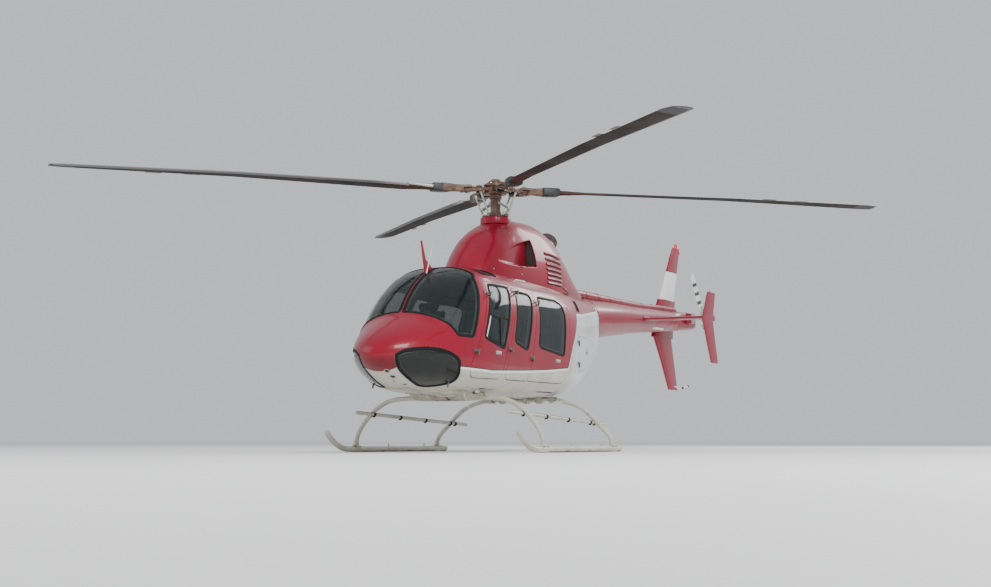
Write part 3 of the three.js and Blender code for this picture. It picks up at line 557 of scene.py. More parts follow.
def glassFinish(name, tint, alpha):
    f = Finish(name)
    haze = f.noise(2.5, 3, 0.5)
    return f.done(colour=tint, roughness=0.03 + haze.above(0.45, 0.4) * 0.05, alpha=alpha + haze * 0.08,
                  coat=0.2, coatRoughness=0.02, level=0.4)


# A lamp's lens: ribbed glass that glows a little.
def lensFinish(name, tint, glow):
    f = Finish(name)
    ribs = f.math("PINGPONG", f.y + f.z, 0.003) / 0.003
    return f.done(colour=tint, roughness=0.08 + ribs * 0.05, coat=1.0, glow=tint, glowStrength=glow,
                  normal=f.bump(ribs, 0.0006, 0.5))


# A wire screen on a solid plate: dark grey wires, and between them the gaps are painted near-black as
# painted shade of the intake behind.
def screenFinish():
    f = Finish("wireScreenShadedGaps")
    net = f.math("PINGPONG", f.y + f.z, 0.006).most(f.math("PINGPONG", f.y - f.z, 0.006)) / 0.006
    return f.done(colour=f.mix(net.above(0.8, 0.15), (0.006, 0.006, 0.006), (0.10, 0.09, 0.08)),
                  roughness=0.6, metallic=0.3, normal=f.bump(net, 0.001, 0.6))


finishes = {
    "livery": liveryPaint(),
    "red": redPaint(),
    "cowl": redPaint("cowlPaint", (0.70, 0.20, -0.60, -1.02, -1.45, -1.86)),
    "boom": redPaint("boomPaint", (-2.66, -3.30, -3.95, -4.36, -5.05, -5.70, -6.22, -6.80)),
    "fin": redPaint("finPaint", (), ((2.32, 2.79),)),
    "glass": glassFinish("tintedGlass", (0.012, 0.020, 0.020), 0.40),
    "darkGlass": glassFinish("darkGlass", (0.010, 0.012, 0.010), 0.70),
    "cuff": plainFinish("bladeCuff", (0.018, 0.020, 0.020), (0.035, 0.034, 0.032), 14, 0.5),
    "rubber": plainFinish("blackRubber", (0.005, 0.005, 0.006), (0.012, 0.012, 0.012), 30, 0.7, level=0.2),
    "gear": plainFinish("gearEnamel", (0.56, 0.545, 0.46), (0.40, 0.38, 0.31), 5, 0.42),
    "shoe": plainFinish("skidShoe", (0.10, 0.085, 0.07), (0.26, 0.22, 0.18), 22, 0.5, 0.6),
    "blade": bladePaint("bladePaint"),
    "edge": bladePaint("bladeEdge", True),
    "steel": plainFinish("brushedSteel", (0.55, 0.54, 0.52), (0.36, 0.34, 0.31), 20, 0.34, 0.9),
    "darkSteel": plainFinish("darkSteel", (0.09, 0.085, 0.08), (0.20, 0.18, 0.16), 26, 0.45, 0.75),
    "hub": plainFinish("greasyHub", (0.085, 0.036, 0.022), (0.20, 0.13, 0.095), 11, 0.45, 0.3),
    "exhaust": heatedSteel(),
    "seat": wovenCloth("seatCloth", (0.030, 0.045, 0.085), (0.045, 0.060, 0.100)),
    "webbing": wovenCloth("harnessWebbing", (0.05, 0.05, 0.055), (0.09, 0.09, 0.095)),
    "panel": plainFinish("panelPlastic", (0.014, 0.014, 0.015), (0.03, 0.03, 0.032), 50, 0.6, bumpScale=400),
    "trim": plainFinish("cabinTrim", (0.34, 0.345, 0.35), (0.25, 0.25, 0.26), 8, 0.6, bumpScale=300),
    "carpet": plainFinish("floorCarpet", (0.05, 0.055, 0.06), (0.08, 0.085, 0.09), 60, 0.9, bumpScale=700),
    "stripes": bandedPaint(),
    "white": plainFinish("whiteEnamel", (0.78, 0.78, 0.75), (0.6, 0.58, 0.52), 10, 0.35, coat=0.3),
    "cream": plainFinish("creamEnamel", (0.50, 0.475, 0.375), (0.17, 0.14, 0.10), 7, 0.38, coat=0.2),
    "black": plainFinish("flatBlack", (0.006, 0.006, 0.006), (0.014, 0.013, 0.012), 12, 0.8),
    "screen": screenFinish(),
    "clearLens": lensFinish("clearLens", (0.42, 0.42, 0.39), 0.03),
    "redLens": lensFinish("redLens", (0.65, 0.02, 0.02), 0.35),
    "greenLens": lensFinish("greenLens", (0.02, 0.45, 0.10), 0.3),
    # The gauge, screen and radio faces glow faintly though they are no lamps: painted light.
    "glowingInstrumentFace": lensFinish("instrumentFaceGlow", (0.05, 0.06, 0.065), 0.1),
}
print("finishes made:", len(finishes))


# The body's sections: place, bottom, top, half width, waist (the widest height), squareness below and above.
hullRows = [
    (2930, 1040, 1085, 30, 1065, 2.0, 2.0), (2895, 970, 1165, 150, 1080, 2.0, 2.0),
    (2820, 900, 1245, 265, 1090, 2.1, 2.0), (2700, 838, 1330, 380, 1100, 2.2, 2.0),
    (2530, 770, 1430, 495, 1110, 2.3, 2.0), (2360, 720, 1530, 580, 1115, 2.4, 2.0),
    (2200, 690, 1720, 640, 1120, 2.5, 2.1), (2000, 668, 1900, 693, 1130, 2.8, 2.3),
    (1750, 662, 2040, 735, 1140, 3.2, 2.6), (1500, 660, 2110, 755, 1150, 3.5, 2.9),
    (1200, 660, 2130, 760, 1150, 3.6, 3.1), (400, 660, 2120, 765, 1150, 3.6, 3.2),
    (-300, 660, 2110, 760, 1150, 3.6, 3.2), (-700, 668, 2100, 740, 1160, 3.5, 3.1),
    (-1100, 710, 2090, 680, 1200, 3.3, 3.0), (-1600, 820, 2070, 560, 1310, 3.1, 2.8),
    (-2100, 975, 2050, 435, 1460, 2.8, 2.5), (-2400, 1130, 2050, 360, 1580, 2.4, 2.2),
    (-2560, 1380, 2070, 285, 1740, 2.0, 2.0),
]
tipX, tipReach, rearX = 2930.4, 35.4, -2560.0


# A table's curve: cubic pieces whose slopes are the harmonic means of the rises at both sides of a row.
def readTable(rows, x):
    rows = np.array(sorted(rows), float)
    knots, values = rows[:, 0], rows[:, 1:]
    rise = np.diff(values, axis=0) / np.diff(knots)[:, None]
    product = rise[:-1] * rise[1:]
    inner = np.where(product > 0, 2 * product / np.where(product > 0, rise[:-1] + rise[1:], 1), 0)
    at = np.clip(np.asarray(x, float), knots[0], knots[-1])
    return np.moveaxis(cubicPieces(knots, values, np.vstack([rise[:1], inner, rise[-1:]]), at), -1, 0)


# The table, with the last 35 mm of the nose closed as the root of the distance to the tip.
def hullShape(x):
    bottom, top, half, waist, low, high = readTable(hullRows, x)
    close = np.sqrt(np.clip((tipX - x) / tipReach, 0, 1))
    tip = x > tipX - tipReach
    return (np.where(tip, waist - 110 * close, bottom), np.where(tip, waist + 85 * close, top),
            np.where(tip, 150 * close, half), waist, low, high)


walkX = tipX - (tipX - rearX) * np.linspace(0, 1, 6000) ** 2
walkLength = np.concatenate([[0], np.cumsum(np.hypot(np.diff(walkX), np.diff(hullShape(walkX)[2])))])
skinLength = walkLength[-1]
turnScale = 760.0  # mm of the flat pattern for one radian round the body
halfTurn = turnScale * np.pi / 2


def alongOf(x):
    return np.interp(-np.asarray(x, float), -walkX, walkLength)


# The skin at u along the waterline from the nose and v round the body from the side: the ray at that angle
# ends on the squared ellipse, at (|cos / width|^n + |sin / height|^n)^(-1/n) from its middle.
def hullPoint(u, v):
    x = np.interp(u, walkLength, walkX)
    bottom, top, half, waist, low, high = hullShape(x)
    a = np.clip(v, -halfTurn, halfTurn) / turnScale
    c, s = np.cos(a), np.sin(a)
    square = np.where(s > 0, high, low)
    width, height = np.maximum(half, 0.01), np.maximum(np.where(s > 0, top - waist, waist - bottom), 0.01)
    reach = (np.abs(c / width) ** square + np.abs(s / height) ** square) ** (-1 / square)
    across = np.where(np.abs(v) >= halfTurn - 1e-6, 0.0, reach * c)
    return np.stack([x, across, waist + reach * s], -1)


def hullNormal(u, v):
    e = 0.6
    along = hullPoint(np.minimum(u + e, skinLength), v) - hullPoint(np.maximum(u - e, 0), v)
    lowV, highV = np.maximum(v - e, -halfTurn), np.minimum(v + e, halfTurn)
    round_ = hullPoint(u, highV) - hullPoint(u, lowV)
    normal = unit(np.cross(along, round_))
    normal[np.asarray(u) < 0.5] = (1, 0, 0)
    edge = np.abs(v) >= halfTurn - 1e-6
    normal[edge] = unit(normal[edge] * (1, 0, 1))
    return normal


def skinPoint(u, v, depth):
    return hullPoint(u, v) - np.asarray(depth, float)[..., None] * hullNormal(u, v)


# Half width of the skin at a place and height: width (1 - rise^n)^(1/n).
def skinY(x, z):
    bottom, top, half, waist, low, high = hullShape(np.asarray(x, float))
    up = z > waist
    rise = np.clip(np.where(up, (z - waist) / (top - waist), (waist - z) / (waist - bottom)), 0, 1)
    square = np.where(up, high, low)
    return half * (1 - rise**square) ** (1 / square)


def skinZ(x, y, upper):
    bottom, top, half, waist, low, high = hullShape(np.asarray(x, float))
    square = high if upper else low
    out = np.clip(np.abs(y) / np.maximum(half, 0.01), 0, 1)
    height = (top - waist) if upper else (waist - bottom)
    return waist + (1 if upper else -1) * height * (1 - out**square) ** (1 / square)


# Points of a side view (x, z) or a plan (x, y) laid on the skin's flat pattern (u, v).
def fromSide(points):
    x = np.clip(points[:, 0], rearX, tipX)
    bottom, top, _, waist = hullShape(x)[:4]
    z = np.clip(points[:, 1], bottom, top)
    angle = np.arctan2(z - waist, skinY(x, z))
    angle = np.where(z >= top - 1e-6, np.pi / 2, np.where(z <= bottom + 1e-6, -np.pi / 2, angle))
    return np.stack([alongOf(x), angle * turnScale], -1)


def fromPlan(points, upper):
    x, y = points.T
    return np.stack([alongOf(x), np.arctan2(skinZ(x, y, upper) - hullShape(x)[3], y) * turnScale], -1)


doorGap, lipWidth, lipDepth, wall = 6.0, 20.0, 10.0, 50.0
sillZ = 818.0
hingeLines = {"crew": [(1475, 1930), (1930, 1078)], "litter": [(862, 1930), (1158, 1162)],
              "passenger": [(305, 1930), (656, 825)], "baggage": [(-900, 1410), (-900, 1020)]}
doorOutlines = {
    "crew": hingeLines["crew"] + [(1985, 975), (1970, 890), (1900, 825), (1370, 825), (1322, 870),
                                  (1312, 950), (1222, 1170), (912, 1930)],
    "litter": hingeLines["litter"] + [(1240, 950), (1225, 870), (1160, 825), (656, 825), (305, 1930)],
    "passenger": [(305, 1930), (638, 880), (604, 832), (560, 825), (-340, 825), (-435, 870), (-478, 960),
                  (-520, 1200), (-655, 1850), (-640, 1930)],
    "baggage": [(-900, 1020), (-900, 1410), (-930, 1440), (-1440, 1440), (-1470, 1410), (-1470, 1090),
                (-1440, 1060), (-960, 990), (-930, 990)],
}
doorRounding = {
    "crew": [14, 60, 50, 40, 40, 30, 30, 60, 60, 14], "litter": [14, 60, 50, 40, 40, 8, 14],
    "passenger": [14, 10, 14, 14, 50, 40, 60, 60, 30, 20], "baggage": [10, 16, 16, 16, 16, 16, 16, 16, 10],
}
windowOutlines = {
    "crew": [(1462, 1870), (1735, 1300), (1715, 1268), (1320, 1176), (1285, 1200), (995, 1880), (1030, 1900),
             (1420, 1900)],
    "litter": [(848, 1840), (1020, 1300), (1000, 1256), (715, 1188), (675, 1215), (455, 1790), (480, 1850),
               (820, 1865)],
    "passenger": [(262, 1800), (373, 1270), (340, 1234), (-335, 1166), (-372, 1195), (-478, 1690),
                  (-445, 1790), (-300, 1835), (230, 1840)],
}
windshieldFoot = [(1950, 1273), (2185, 1282), (2235, 1385), (2360, 1560)]
postHalf = 22.0


# Softens a closed line's corners on the flat pattern: a running mean of neighbours, done several times.
def relaxed(loop, rounds):
    for _ in range(rounds):
        loop = 0.5 * loop + 0.25 * (np.roll(loop, 1, 0) + np.roll(loop, -1, 0))
    return loop


def sideLoop(corners, reach, grow=0.0):
    return fromSide(insetLoop(roundedOutline(corners, reach), -grow))


# An open line of a few corners with points set close together.
def openLine(corners):
    return densified(corners, 9, closed=False)


def windshieldLoop():
    foot = openLine(windshieldFoot[:3] + [(2347, 1541)])
    top = openLine([(2347, postHalf), (1520, postHalf), (1520, float(skinY(1520, 2010)))])
    rear = openLine([(1520, 2010), (1600, 1960), (1950, 1273)])
    loop = np.vstack([fromSide(foot)[:-1], fromPlan(top, True)[:-1], fromSide(rear)[:-1]])
    return relaxed(densified(loop, 9), 14)


def chinLoop():
    top = openLine([(2844, 1048), (2791, 1090), (2726, 1109), (2594, 1124), (2444, 1113), (2323, 1086),
                    (2215, 1038), (2168, 995)])
    foot = openLine([(2168, 640), (2137, 620), (2105, 591), (2089, 552), (2093, 502), (2163, 390),
                     (2239, 282), (2301, 231), (2356, 214), (2542, 215), (2728, 206), (2811, 220),
                     (2844, 229)])
    return relaxed(densified(np.vstack([fromSide(top)[:-1], fromPlan(foot, False)[:-1]]), 9), 8)


roofWindow = [(1010, 130), (1400, 130), (1360, 500), (1030, 520)]
loops = {"windshield": windshieldLoop(), "chin": chinLoop(),
         "roof": fromPlan(roundedOutline(roofWindow, 45), True)}
for name, corners in windowOutlines.items():
    loops[name + "Window"] = sideLoop(corners, 42)
for name, corners in doorOutlines.items():
    opening = [(x, sillZ + doorGap / 2 if z == 825 else z) for x, z in corners]
    loops[name + "Opening"] = sideLoop(opening, doorRounding[name], doorGap / 2)
    loops[name + "Leaf"] = sideLoop(corners, doorRounding[name], -doorGap / 2)
    loops[name + "Frame"] = sideLoop(corners, doorRounding[name], -doorGap / 2 - lipWidth)

noseSeamX, bellyRearX, roofRearX, roofEdgeZ = 1965, -620, -730, 1933
seams = [
    [(noseSeamX, 600), (noseSeamX, sillZ)], [(noseSeamX, sillZ), (bellyRearX, sillZ), (bellyRearX, 600)],
    [(1780, 1273)] + windshieldFoot, [(-300, roofEdgeZ), (roofRearX, roofEdgeZ), (roofRearX, 2300)],
    [(200, roofEdgeZ), (1050, roofEdgeZ)],
]
noseRegion = [(3300, 300), (noseSeamX, 300), (noseSeamX, sillZ), (1780, sillZ), (1780, 1273),
              *windshieldFoot, (3300, 1560)]


# Even-odd rule: a point is inside where a ray from it crosses the closed line an odd number of times.
def within(points, loop):
    low, high = loop.min(0), loop.max(0)
    near = np.all((points >= low) & (points <= high), 1)
    inside = np.zeros(len(points), bool)
    p, a, b = points[near][:, None], loop[None], np.roll(loop, -1, 0)[None]
    spans = (a[..., 1] > p[..., 1]) != (b[..., 1] > p[..., 1])
    slope = (b[..., 0] - a[..., 0]) / np.where(spans, b[..., 1] - a[..., 1], 1)
    inside[near] = np.sum(spans & (p[..., 0] < slope * (p[..., 1] - a[..., 1]) + a[..., 0]), 1) % 2 == 1
    return inside


# The flat pattern of one side, cut into triangles that follow every loop and seam; loose points lie a gap
# apart, but none within a cell of a line.
def cutPattern(names):
    gap, cell = 24.0, 8.0
    lines = [(loops[n], True) for n in names]
    lines += [(fromSide(densified(s, 12, closed=False)), False) for s in seams]
    u = np.append(np.arange(0, skinLength, gap), skinLength)
    v = np.linspace(-halfTurn, halfTurn, int(2 * halfTurn / gap))
    lines += [(np.stack([u, 0 * u + level], -1), False) for level in (-halfTurn, halfTurn)]
    lines += [(np.stack([0 * v + place, v], -1), False) for place in (0.0, skinLength)]
    points = np.vstack([line for line, _ in lines])
    edges, start = [], 0
    for line, closed in lines:
        i = np.arange(len(line)) + start
        edges.append(np.stack([i, np.roll(i, -1)], -1)[: None if closed else -1])
        start += len(line)
    taken = np.zeros((int(skinLength / cell) + 4, int(2 * halfTurn / cell) + 4), bool)
    spot = ((points + (0, halfTurn)) / cell).astype(int) + 1
    for du in (-1, 0, 1):
        for dv in (-1, 0, 1):
            taken[spot[:, 0] + du, spot[:, 1] + dv] = True
    gridU, gridV = np.meshgrid(u[1:-1], v[1:-1], indexing="ij")
    gridV = gridV + np.where(np.arange(len(u) - 2) % 2, 0.25, -0.25)[:, None] * (v[1] - v[0])
    loose = np.stack([gridU.ravel(), gridV.ravel()], -1)
    spot = ((loose + (0, halfTurn)) / cell).astype(int) + 1
    points = np.vstack([points, loose[~taken[spot[:, 0], spot[:, 1]]]])
    made = delaunay_2d_cdt([Vector(p) for p in points.tolist()], np.vstack(edges).tolist(), [], 0, 1e-3)
    return np.array([tuple(p) for p in made[0]]), np.array(made[2], int)


patterns = {
    "left": cutPattern(loops),
    "right": cutPattern([n for n in loops if not n.startswith("litter")] + ["litterWindow"]),
}
print("skin pattern cut:", {side: len(t) for side, (p, t) in patterns.items()}, "triangles")


# A shell from a set of pattern triangles: each has its own floor depth; walls close the outer edges and the
# steps between floors.
def shellPart(points, triangles, floors, top):
    depths = sorted(set(floors.tolist()))
    levels = [top] + depths
    cloud = [skinPoint(*points.T, depth) for depth in levels]
    count = len(points)
    level = 1 + np.searchsorted(depths, floors)
    faces = [triangles, triangles[:, ::-1] + (level * count)[:, None]]
    edges = np.vstack([triangles[:, [0, 1]], triangles[:, [1, 2]], triangles[:, [2, 0]]])
    owner = np.tile(np.arange(len(triangles)), 3)
    key = edges[:, 0].astype(np.int64) * count + edges[:, 1]
    back = edges[:, 1].astype(np.int64) * count + edges[:, 0]
    order = np.argsort(key)
    found = np.clip(np.searchsorted(key[order], back), 0, len(key) - 1)
    twin = order[found]
    has = key[twin] == back
    high = np.where(has, level[owner[twin]], 0)
    step = high < level[owner]
    ends = points[edges]
    seam = np.all(np.abs(np.abs(ends[..., 1]) - halfTurn) < 1e-3, 1) | np.all(ends[..., 0] < 1e-3, 1)
    step &= has | ~seam
    a, b, up, down = edges[step, 0], edges[step, 1], high[step] * count, level[owner][step] * count
    faces.append(np.stack([a + down, b + down, b + up, a + up], -1))
    return np.vstack(cloud), faces


# Joins points that lie together, drops faces that close up to nothing, and points that no face uses.
def welded(part):
    points, faces = part
    _, first, index = np.unique(np.round(points * 50).astype(np.int64), axis=0, return_index=True,
                                return_inverse=True)
    index = index.ravel()
    result = []
    for f in faces:
        f = index[f]
        if f.shape[1] == 4:
            flat = f[:, 0] == f[:, 1]
            result.append(f[flat][:, [0, 2, 3]])
            f = f[~flat]
        result.append(f[np.all(f != np.roll(f, -1, 1), 1)])
    result = [f for f in result if len(f)]
    used = np.zeros(len(first), bool)
    for f in result:
        used[f] = True
    number = np.cumsum(used) - 1
    return points[first][used], [number[f] for f in result]


centres = {side: points[triangles].mean(1) for side, (points, triangles) in patterns.items()}
centrePoints = {side: hullPoint(*middles.T) for side, middles in centres.items()}
inLoop = {side: {n: within(centres[side], loops[n]) for n in loops} for side in patterns}


def patternShell(side, mask, floors, top=0.0):
    points, triangles = patterns[side]
    chosen = triangles[mask]
    corner = points[chosen]
    area = np.cross(corner[:, 1] - corner[:, 0], corner[:, 2] - corner[:, 0])
    chosen = np.where(area[:, None] > 0, chosen, chosen[:, ::-1])  # u runs back and v up: this faces out
    return onSide(shellPart(points, chosen, np.broadcast_to(floors, mask.shape)[mask], top), side)


def fixedRegion(side, name):
    c, m = centrePoints[side], inLoop[side]
    x, z = c[:, 0], c[:, 2]
    cut = m["crewOpening"] | m["passengerOpening"] | m["windshield"] | m["chin"] | m["roof"]
    cut |= (m["litterOpening"] | m["baggageOpening"]) if side == "left" else m["litterWindow"]
    nose = within(c[:, [0, 2]], np.array(noseRegion, float))
    belly = (x > bellyRearX) & (x < noseSeamX) & (z < sillZ)
    aft = ~belly & ((x < roofRearX) | ((x < -300) & (z < roofEdgeZ)))
    panel = (side == "right") & ~nose & ~belly & ~aft & (z < roofEdgeZ) & (x < 1380)
    edge = [(600, 700), (1380, 700), (1380, 950), (1050, 1933), (200, 1933)]
    panel = panel & within(c[:, [0, 2]], np.array(edge, float))
    masks = {"nose": nose & ~belly, "belly": belly & ~nose, "aft": aft, "panel": panel}
    masks["frame"] = ~(masks["nose"] | masks["belly"] | masks["aft"] | masks["panel"])
    return masks[name] & ~cut


def skinPiece(name, region, node, slot=None, sides=("left", "right")):
    parts = [patternShell(side, fixedRegion(side, region), wall) for side in sides]
    makePiece(name, [welded(joinParts(parts))], "livery", node=node, slot=slot)


skinPiece("noseSkin", "nose", "nose_shell")
skinPiece("bellySkin", "belly", "belly_shell", "white_paint")
skinPiece("cabinFrameSkin", "frame", "cabin_frame")
skinPiece("sidePanelSkin", "panel", "side_panel_right", sides=("right",))
skinPiece("aftSkin", "aft", "aft_fuselage", "white_paint")
print("body skins made")


def leafPiece(name, side, loop, body, node):
    m = inLoop[side]
    mask = m[loop + "Leaf"].copy()
    if loop + "Window" in m:
        mask &= ~m[loop + "Window"]
    leaf = welded(patternShell(side, mask, np.where(m[loop + "Frame"], wall, lipDepth)))
    makePiece(name, [leaf], "livery", body, node, "white_paint" if loop == "baggage" else None)


def panePiece(name, side, loop, body, node):
    pane = welded(patternShell(side, inLoop[side][loop], 12.0, 4.0))
    makePiece(name, [pane], "darkGlass" if loop == "chin" else "glass", body, node)


# Points of a loop on the skin, the direction out of the skin, and the one away from what the loop encloses.
def loopFrame(loop):
    points, normals = hullPoint(*loop.T), hullNormal(*loop.T)
    tangent = unit(np.roll(points, -1, 0) - np.roll(points, 1, 0))
    ahead = np.roll(loop, -1, 0)
    turning = np.sign(np.sum(loop[:, 0] * ahead[:, 1] - ahead[:, 0] * loop[:, 1]))
    return points, normals, unit(np.cross(tangent, normals)) * turning


# A profile of (away, out) points carried round a loop on the skin.
def trimPart(side, loop, profile):
    points, normals, across = loopFrame(loop)
    profile = np.array(profile, float)
    grid = points[:, None] + profile[None, :, :1] * across[:, None] + profile[None, :, 1:] * normals[:, None]
    return onSide(turnedOut(gridPart(grid, closed=True, ring=True)), side)


paneScrews = {"offset": 27, "every": 7}


# Small screws round a loop, at an offset outside it.
def screwsRound(side, name):
    loop = loops[name]
    step = len(loop) // len(loop[::paneScrews["every"]])
    points, normals, across = loopFrame(loop)
    places = (points + across * paneScrews["offset"])[::step]
    return onSide(scattered(screw(4.2, 1.6), places, normals[::step]), side)


# A place of the flat pattern on the body, and the direction out of the skin there.
def skinSpot(flat, sign):
    return hullPoint(*flat.T)[0] * (1, sign, 1), hullNormal(*flat.T)[0] * (1, sign, 1)


def sideSpot(x, z, sign=1):
    return skinSpot(fromSide(np.array([[x, z]], float)), sign)


def bellySpot(x, y):
    return skinSpot(fromPlan(np.array([[x, abs(y)]], float), False), 1 if y >= 0 else -1)


# A section swept along a line of the side view that stands on the skin.
def sideStrip(points, section, out=0.0):
    flat = fromSide(densified(points, 20, closed=False))
    return sweepPart(skinPoint(*flat.T, -out), section, hullNormal(*flat.T))


def railSection(width, height):
    w = width / 2
    return [(-w, 0), (w, 0), (w, height * 0.7), (w * 0.75, height), (-w * 0.75, height), (-w, height * 0.7)]


trims = {  # profiles round the panes: away from the pane, and out of the skin
    "seal": [(-17, -6), (-18, -3), (-15, 1.6), (-7, 3.8), (8, 3.6), (16, 1.4), (17, -2), (17, -5)],
    "inner": [(-34, -13), (2, -13), (2, -50), (-8, -53), (-16, -26), (-34, -20)],
}
hingeAxes = {"crew": ((703, 751), (1778, 1110)), "litter": ((721, 794), (1845, 1165)),
             "passenger": ((747, 799), (1755, 1085)), "baggage": ((732, 732), (1350, 1080))}


# Knuckles, arms and pads of a door's hinges, on the frame in front (1) or on the door (-1).
def hingeParts(name, owner, sign=1):
    (topX, topZ), (footX, footZ) = hingeLines[name]
    (topY, footY), heights = hingeAxes[name]
    top = np.array([topX, topY, topZ], float)
    run = np.array([footX, footY, footZ], float) - top
    along = unit(run)
    parts = []
    for z in heights:
        place = top + run * (z - topZ) / (footZ - topZ)
        middle = place - owner * along * 17
        spot, out = sideSpot(middle[0] + owner * 26, middle[2])
        parts += [barPart(place - owner * along * 0.3, place - owner * along * 34, 7, 16, bevel=1.2),
                  barPart(middle, spot - out * 10, 6.5, 12, 8.5),
                  seated(softBlock((-17, -24, -3), (17, 24, 3.5), 5), spot + (owner * 5, 0, 0), out)]
        parts += [seated(screw(4.5, 7), spot + (owner * 5 + dx, 0, dz), out)
                  for dx, dz in ((8, 16), (8, -16))]
    return [onSide(part, sign) for part in parts]


# A door handle: a base plate, the lever over it and a lock at its front (1) or rear (-1).
def handleParts(x, z, sign, hand):
    spot, out = sideSpot(x, z)
    low, high = sorted((-50 * hand, 34 * hand))
    parts = [softBlock((-66, -19, -2), (66, 19, 5), 6), softBlock((low, -9, 4), (high, 8, 15), 5),
             movePart(screw(8, 8, 14), (50 * hand, 0, 3))]
    return [onSide(seated(part, spot, out), sign) for part in parts]


doorBodies = {("crew", "left"): "left_crew_door", ("crew", "right"): "right_crew_door",
              ("litter", "left"): "stretcher_door", ("passenger", "left"): "left_passenger_door",
              ("passenger", "right"): "right_passenger_door"}
handles = {"crew": (1450, 1118, 1), "passenger": (-165, 1092, 1), "baggage": (-1405, 1250, -1)}
ventRails = [([(1706, 1290), (1592, 1528)], "white", 15), ([(1612, 1532), (1128, 1510)], "rubber", 17),
             ([(1392, 1214), (1392, 1518)], "rubber", 15), ([(1655, 1276), (1310, 1196)], "rubber", 9)]


def paneSet(label, side, loop, body, node):
    panePiece(label + "Pane", side, loop, body, node)
    makePiece(label + "Seal", [trimPart(side, loops[loop], trims["seal"])], "rubber", body)
    makePiece(label + "Inner", [trimPart(side, loops[loop], trims["inner"])], "trim", body,
              slot="bare_metal")


# A thin lining on the inner face of the wall, over the chosen part of the pattern.
def liningPart(side, mask):
    return welded(patternShell(side, mask, wall + 4.0, wall + 0.6))


for (name, side), body in doorBodies.items():
    label = name + side.capitalize()
    sign = 1 if side == "left" else -1
    leafPiece(label + "Door", side, name, body, "litter_door" if name == "litter" else f"{name}_door_{side}")
    pane = "litter_window" if name == "litter" else f"{name}_window_{side}"
    paneSet(label, side, name + "Window", body, pane)
    m = inLoop[side]
    makePiece(label + "Lining", [liningPart(side, m[name + "Frame"] & ~m[name + "Window"])], "trim", body)
    fittings = hingeParts(name, -1, sign)
    if name == "litter":
        fittings += hingeParts("passenger", 1)
    makePiece(label + "Hinges", fittings, "darkSteel", body)
    if name in handles:
        x, z, hand = handles[name]
        makePiece(label + "Handle", handleParts(x, z, sign, hand), "steel", body)
    if name == "crew":
        for tone in ("white", "rubber"):
            parts = [onSide(sideStrip(line, railSection(wide, 7), -3.5), side)
                     for line, paint, wide in ventRails if paint == tone]
            makePiece(label + "Vent" + tone.capitalize(), parts, tone, body, slot="panel_black")
leafPiece("baggageLeaf", "left", "baggage", "luggage_door", "baggage_door")
makePiece("baggageHinges", hingeParts("baggage", -1), "darkSteel", "luggage_door")
makePiece("baggageHandle", handleParts(*handles["baggage"][:2], 1, -1), "steel", "luggage_door")
fixedHinges = (hingeParts("crew", 1) + hingeParts("crew", 1, -1) + hingeParts("litter", 1)
               + hingeParts("passenger", 1, -1) + hingeParts("baggage", 1))
makePiece("frameHinges", fixedHinges, "darkSteel")
for side in ("left", "right"):
    for name, node in (("windshield", "windshield"), ("chin", "chin_window"), ("roof", "roof_window")):
        paneSet(name + side.capitalize(), side, name, "airframe", f"{node}_{side}")
paneSet("sideFixed", "right", "litterWindow", "airframe", "side_window_right")
rings = [screwsRound(side, name) for side in ("left", "right") for name in ("windshield", "chin", "roof")]
makePiece("paneScrews", rings + [screwsRound("right", "litterWindow")], "darkSteel")
lining = [liningPart(side, fixedRegion(side, "frame") & (centrePoints[side][:, 0] < 1900))
          for side in ("left", "right")]
makePiece("cabinLining", lining + [liningPart("right", fixedRegion("right", "panel"))], "trim")
for region, tone in (("belly", "carpet"), ("nose", "panel")):
    makePiece(region + "Lining", [liningPart(side, fixedRegion(side, region)) for side in ("left", "right")],
              tone, slot="panel_black")
print("doors and panes made")


# The rounded end of the body: its last ring draws in to the boom's ring over a quarter circle.
def rearCap():
    a = np.linspace(-np.pi, np.pi, 97)[:-1]
    v = np.where(np.abs(a) <= np.pi / 2, a, np.sign(a) * np.pi - a) * turnScale
    ring = hullPoint(np.full(len(a), skinLength), v)
    ring[:, 1] *= np.where(np.abs(a) <= np.pi / 2, 1, -1)
    t = np.linspace(0, np.pi / 2, 9)[:, None]
    boom = np.stack([np.full(len(a), rearX), 268 * np.cos(a), 1786 + 268 * np.sin(a)], -1)
    share = 1 - np.cos(t)[..., None]
    grid = ring[None] * (1 - share) + boom[None] * share
    grid[..., 0] = rearX - 48 * np.sin(t)
    inner = grid[::-1] * (1, 0.98, 1) + (12, 0, 0)
    return turnedOut(gridPart(np.concatenate([grid, inner]), closed=True, ring=True))


makePiece("rearCap", [rearCap()], "livery", slot="white_paint")


def onBelly(part, x, y):
    return seated(part, *bellySpot(x, y))


# A shallow round flange with six screws.
def flangeParts(x, y, radius):
    rows = [(radius, -4), (radius, 2.4), (radius - 2, 4), (radius * 0.72, 4), (radius * 0.68, 4), (0.5, 4)]
    a = np.arange(6) * np.pi / 3
    spot, out = bellySpot(x, y)
    around = spot + (radius * 0.86) * np.stack([np.cos(a), np.sin(a), 0 * a], -1)
    return [onBelly(turnedProfile(rows, sides=36), x, y),
            scattered(movePart(screw(2.6, 1.4, 6), (0, 0, 3.6)), around, [out] * 6)]


bellyFittings = {  # x, y and radius
    "flanges": [(1968, 70, 62), (2776, 76, 34), (2659, 84, 38), (2546, 31, 17), (2443, 107, 26),
                (1120, -420, 55), (-420, 300, 50), (-420, -300, 50)],
    "holes": [(2776, 76, 23), (2659, 84, 26), (2546, 31, 11), (2443, 107, 17), (1575, -338, 36),
              (884, -10, 16), (-227, -64, 16), (1900, 300, 12), (1640, -120, 11)],
}
flanges = [part for row in bellyFittings["flanges"] for part in flangeParts(*row)]
makePiece("bellyFittingsCream", flanges, "cream")
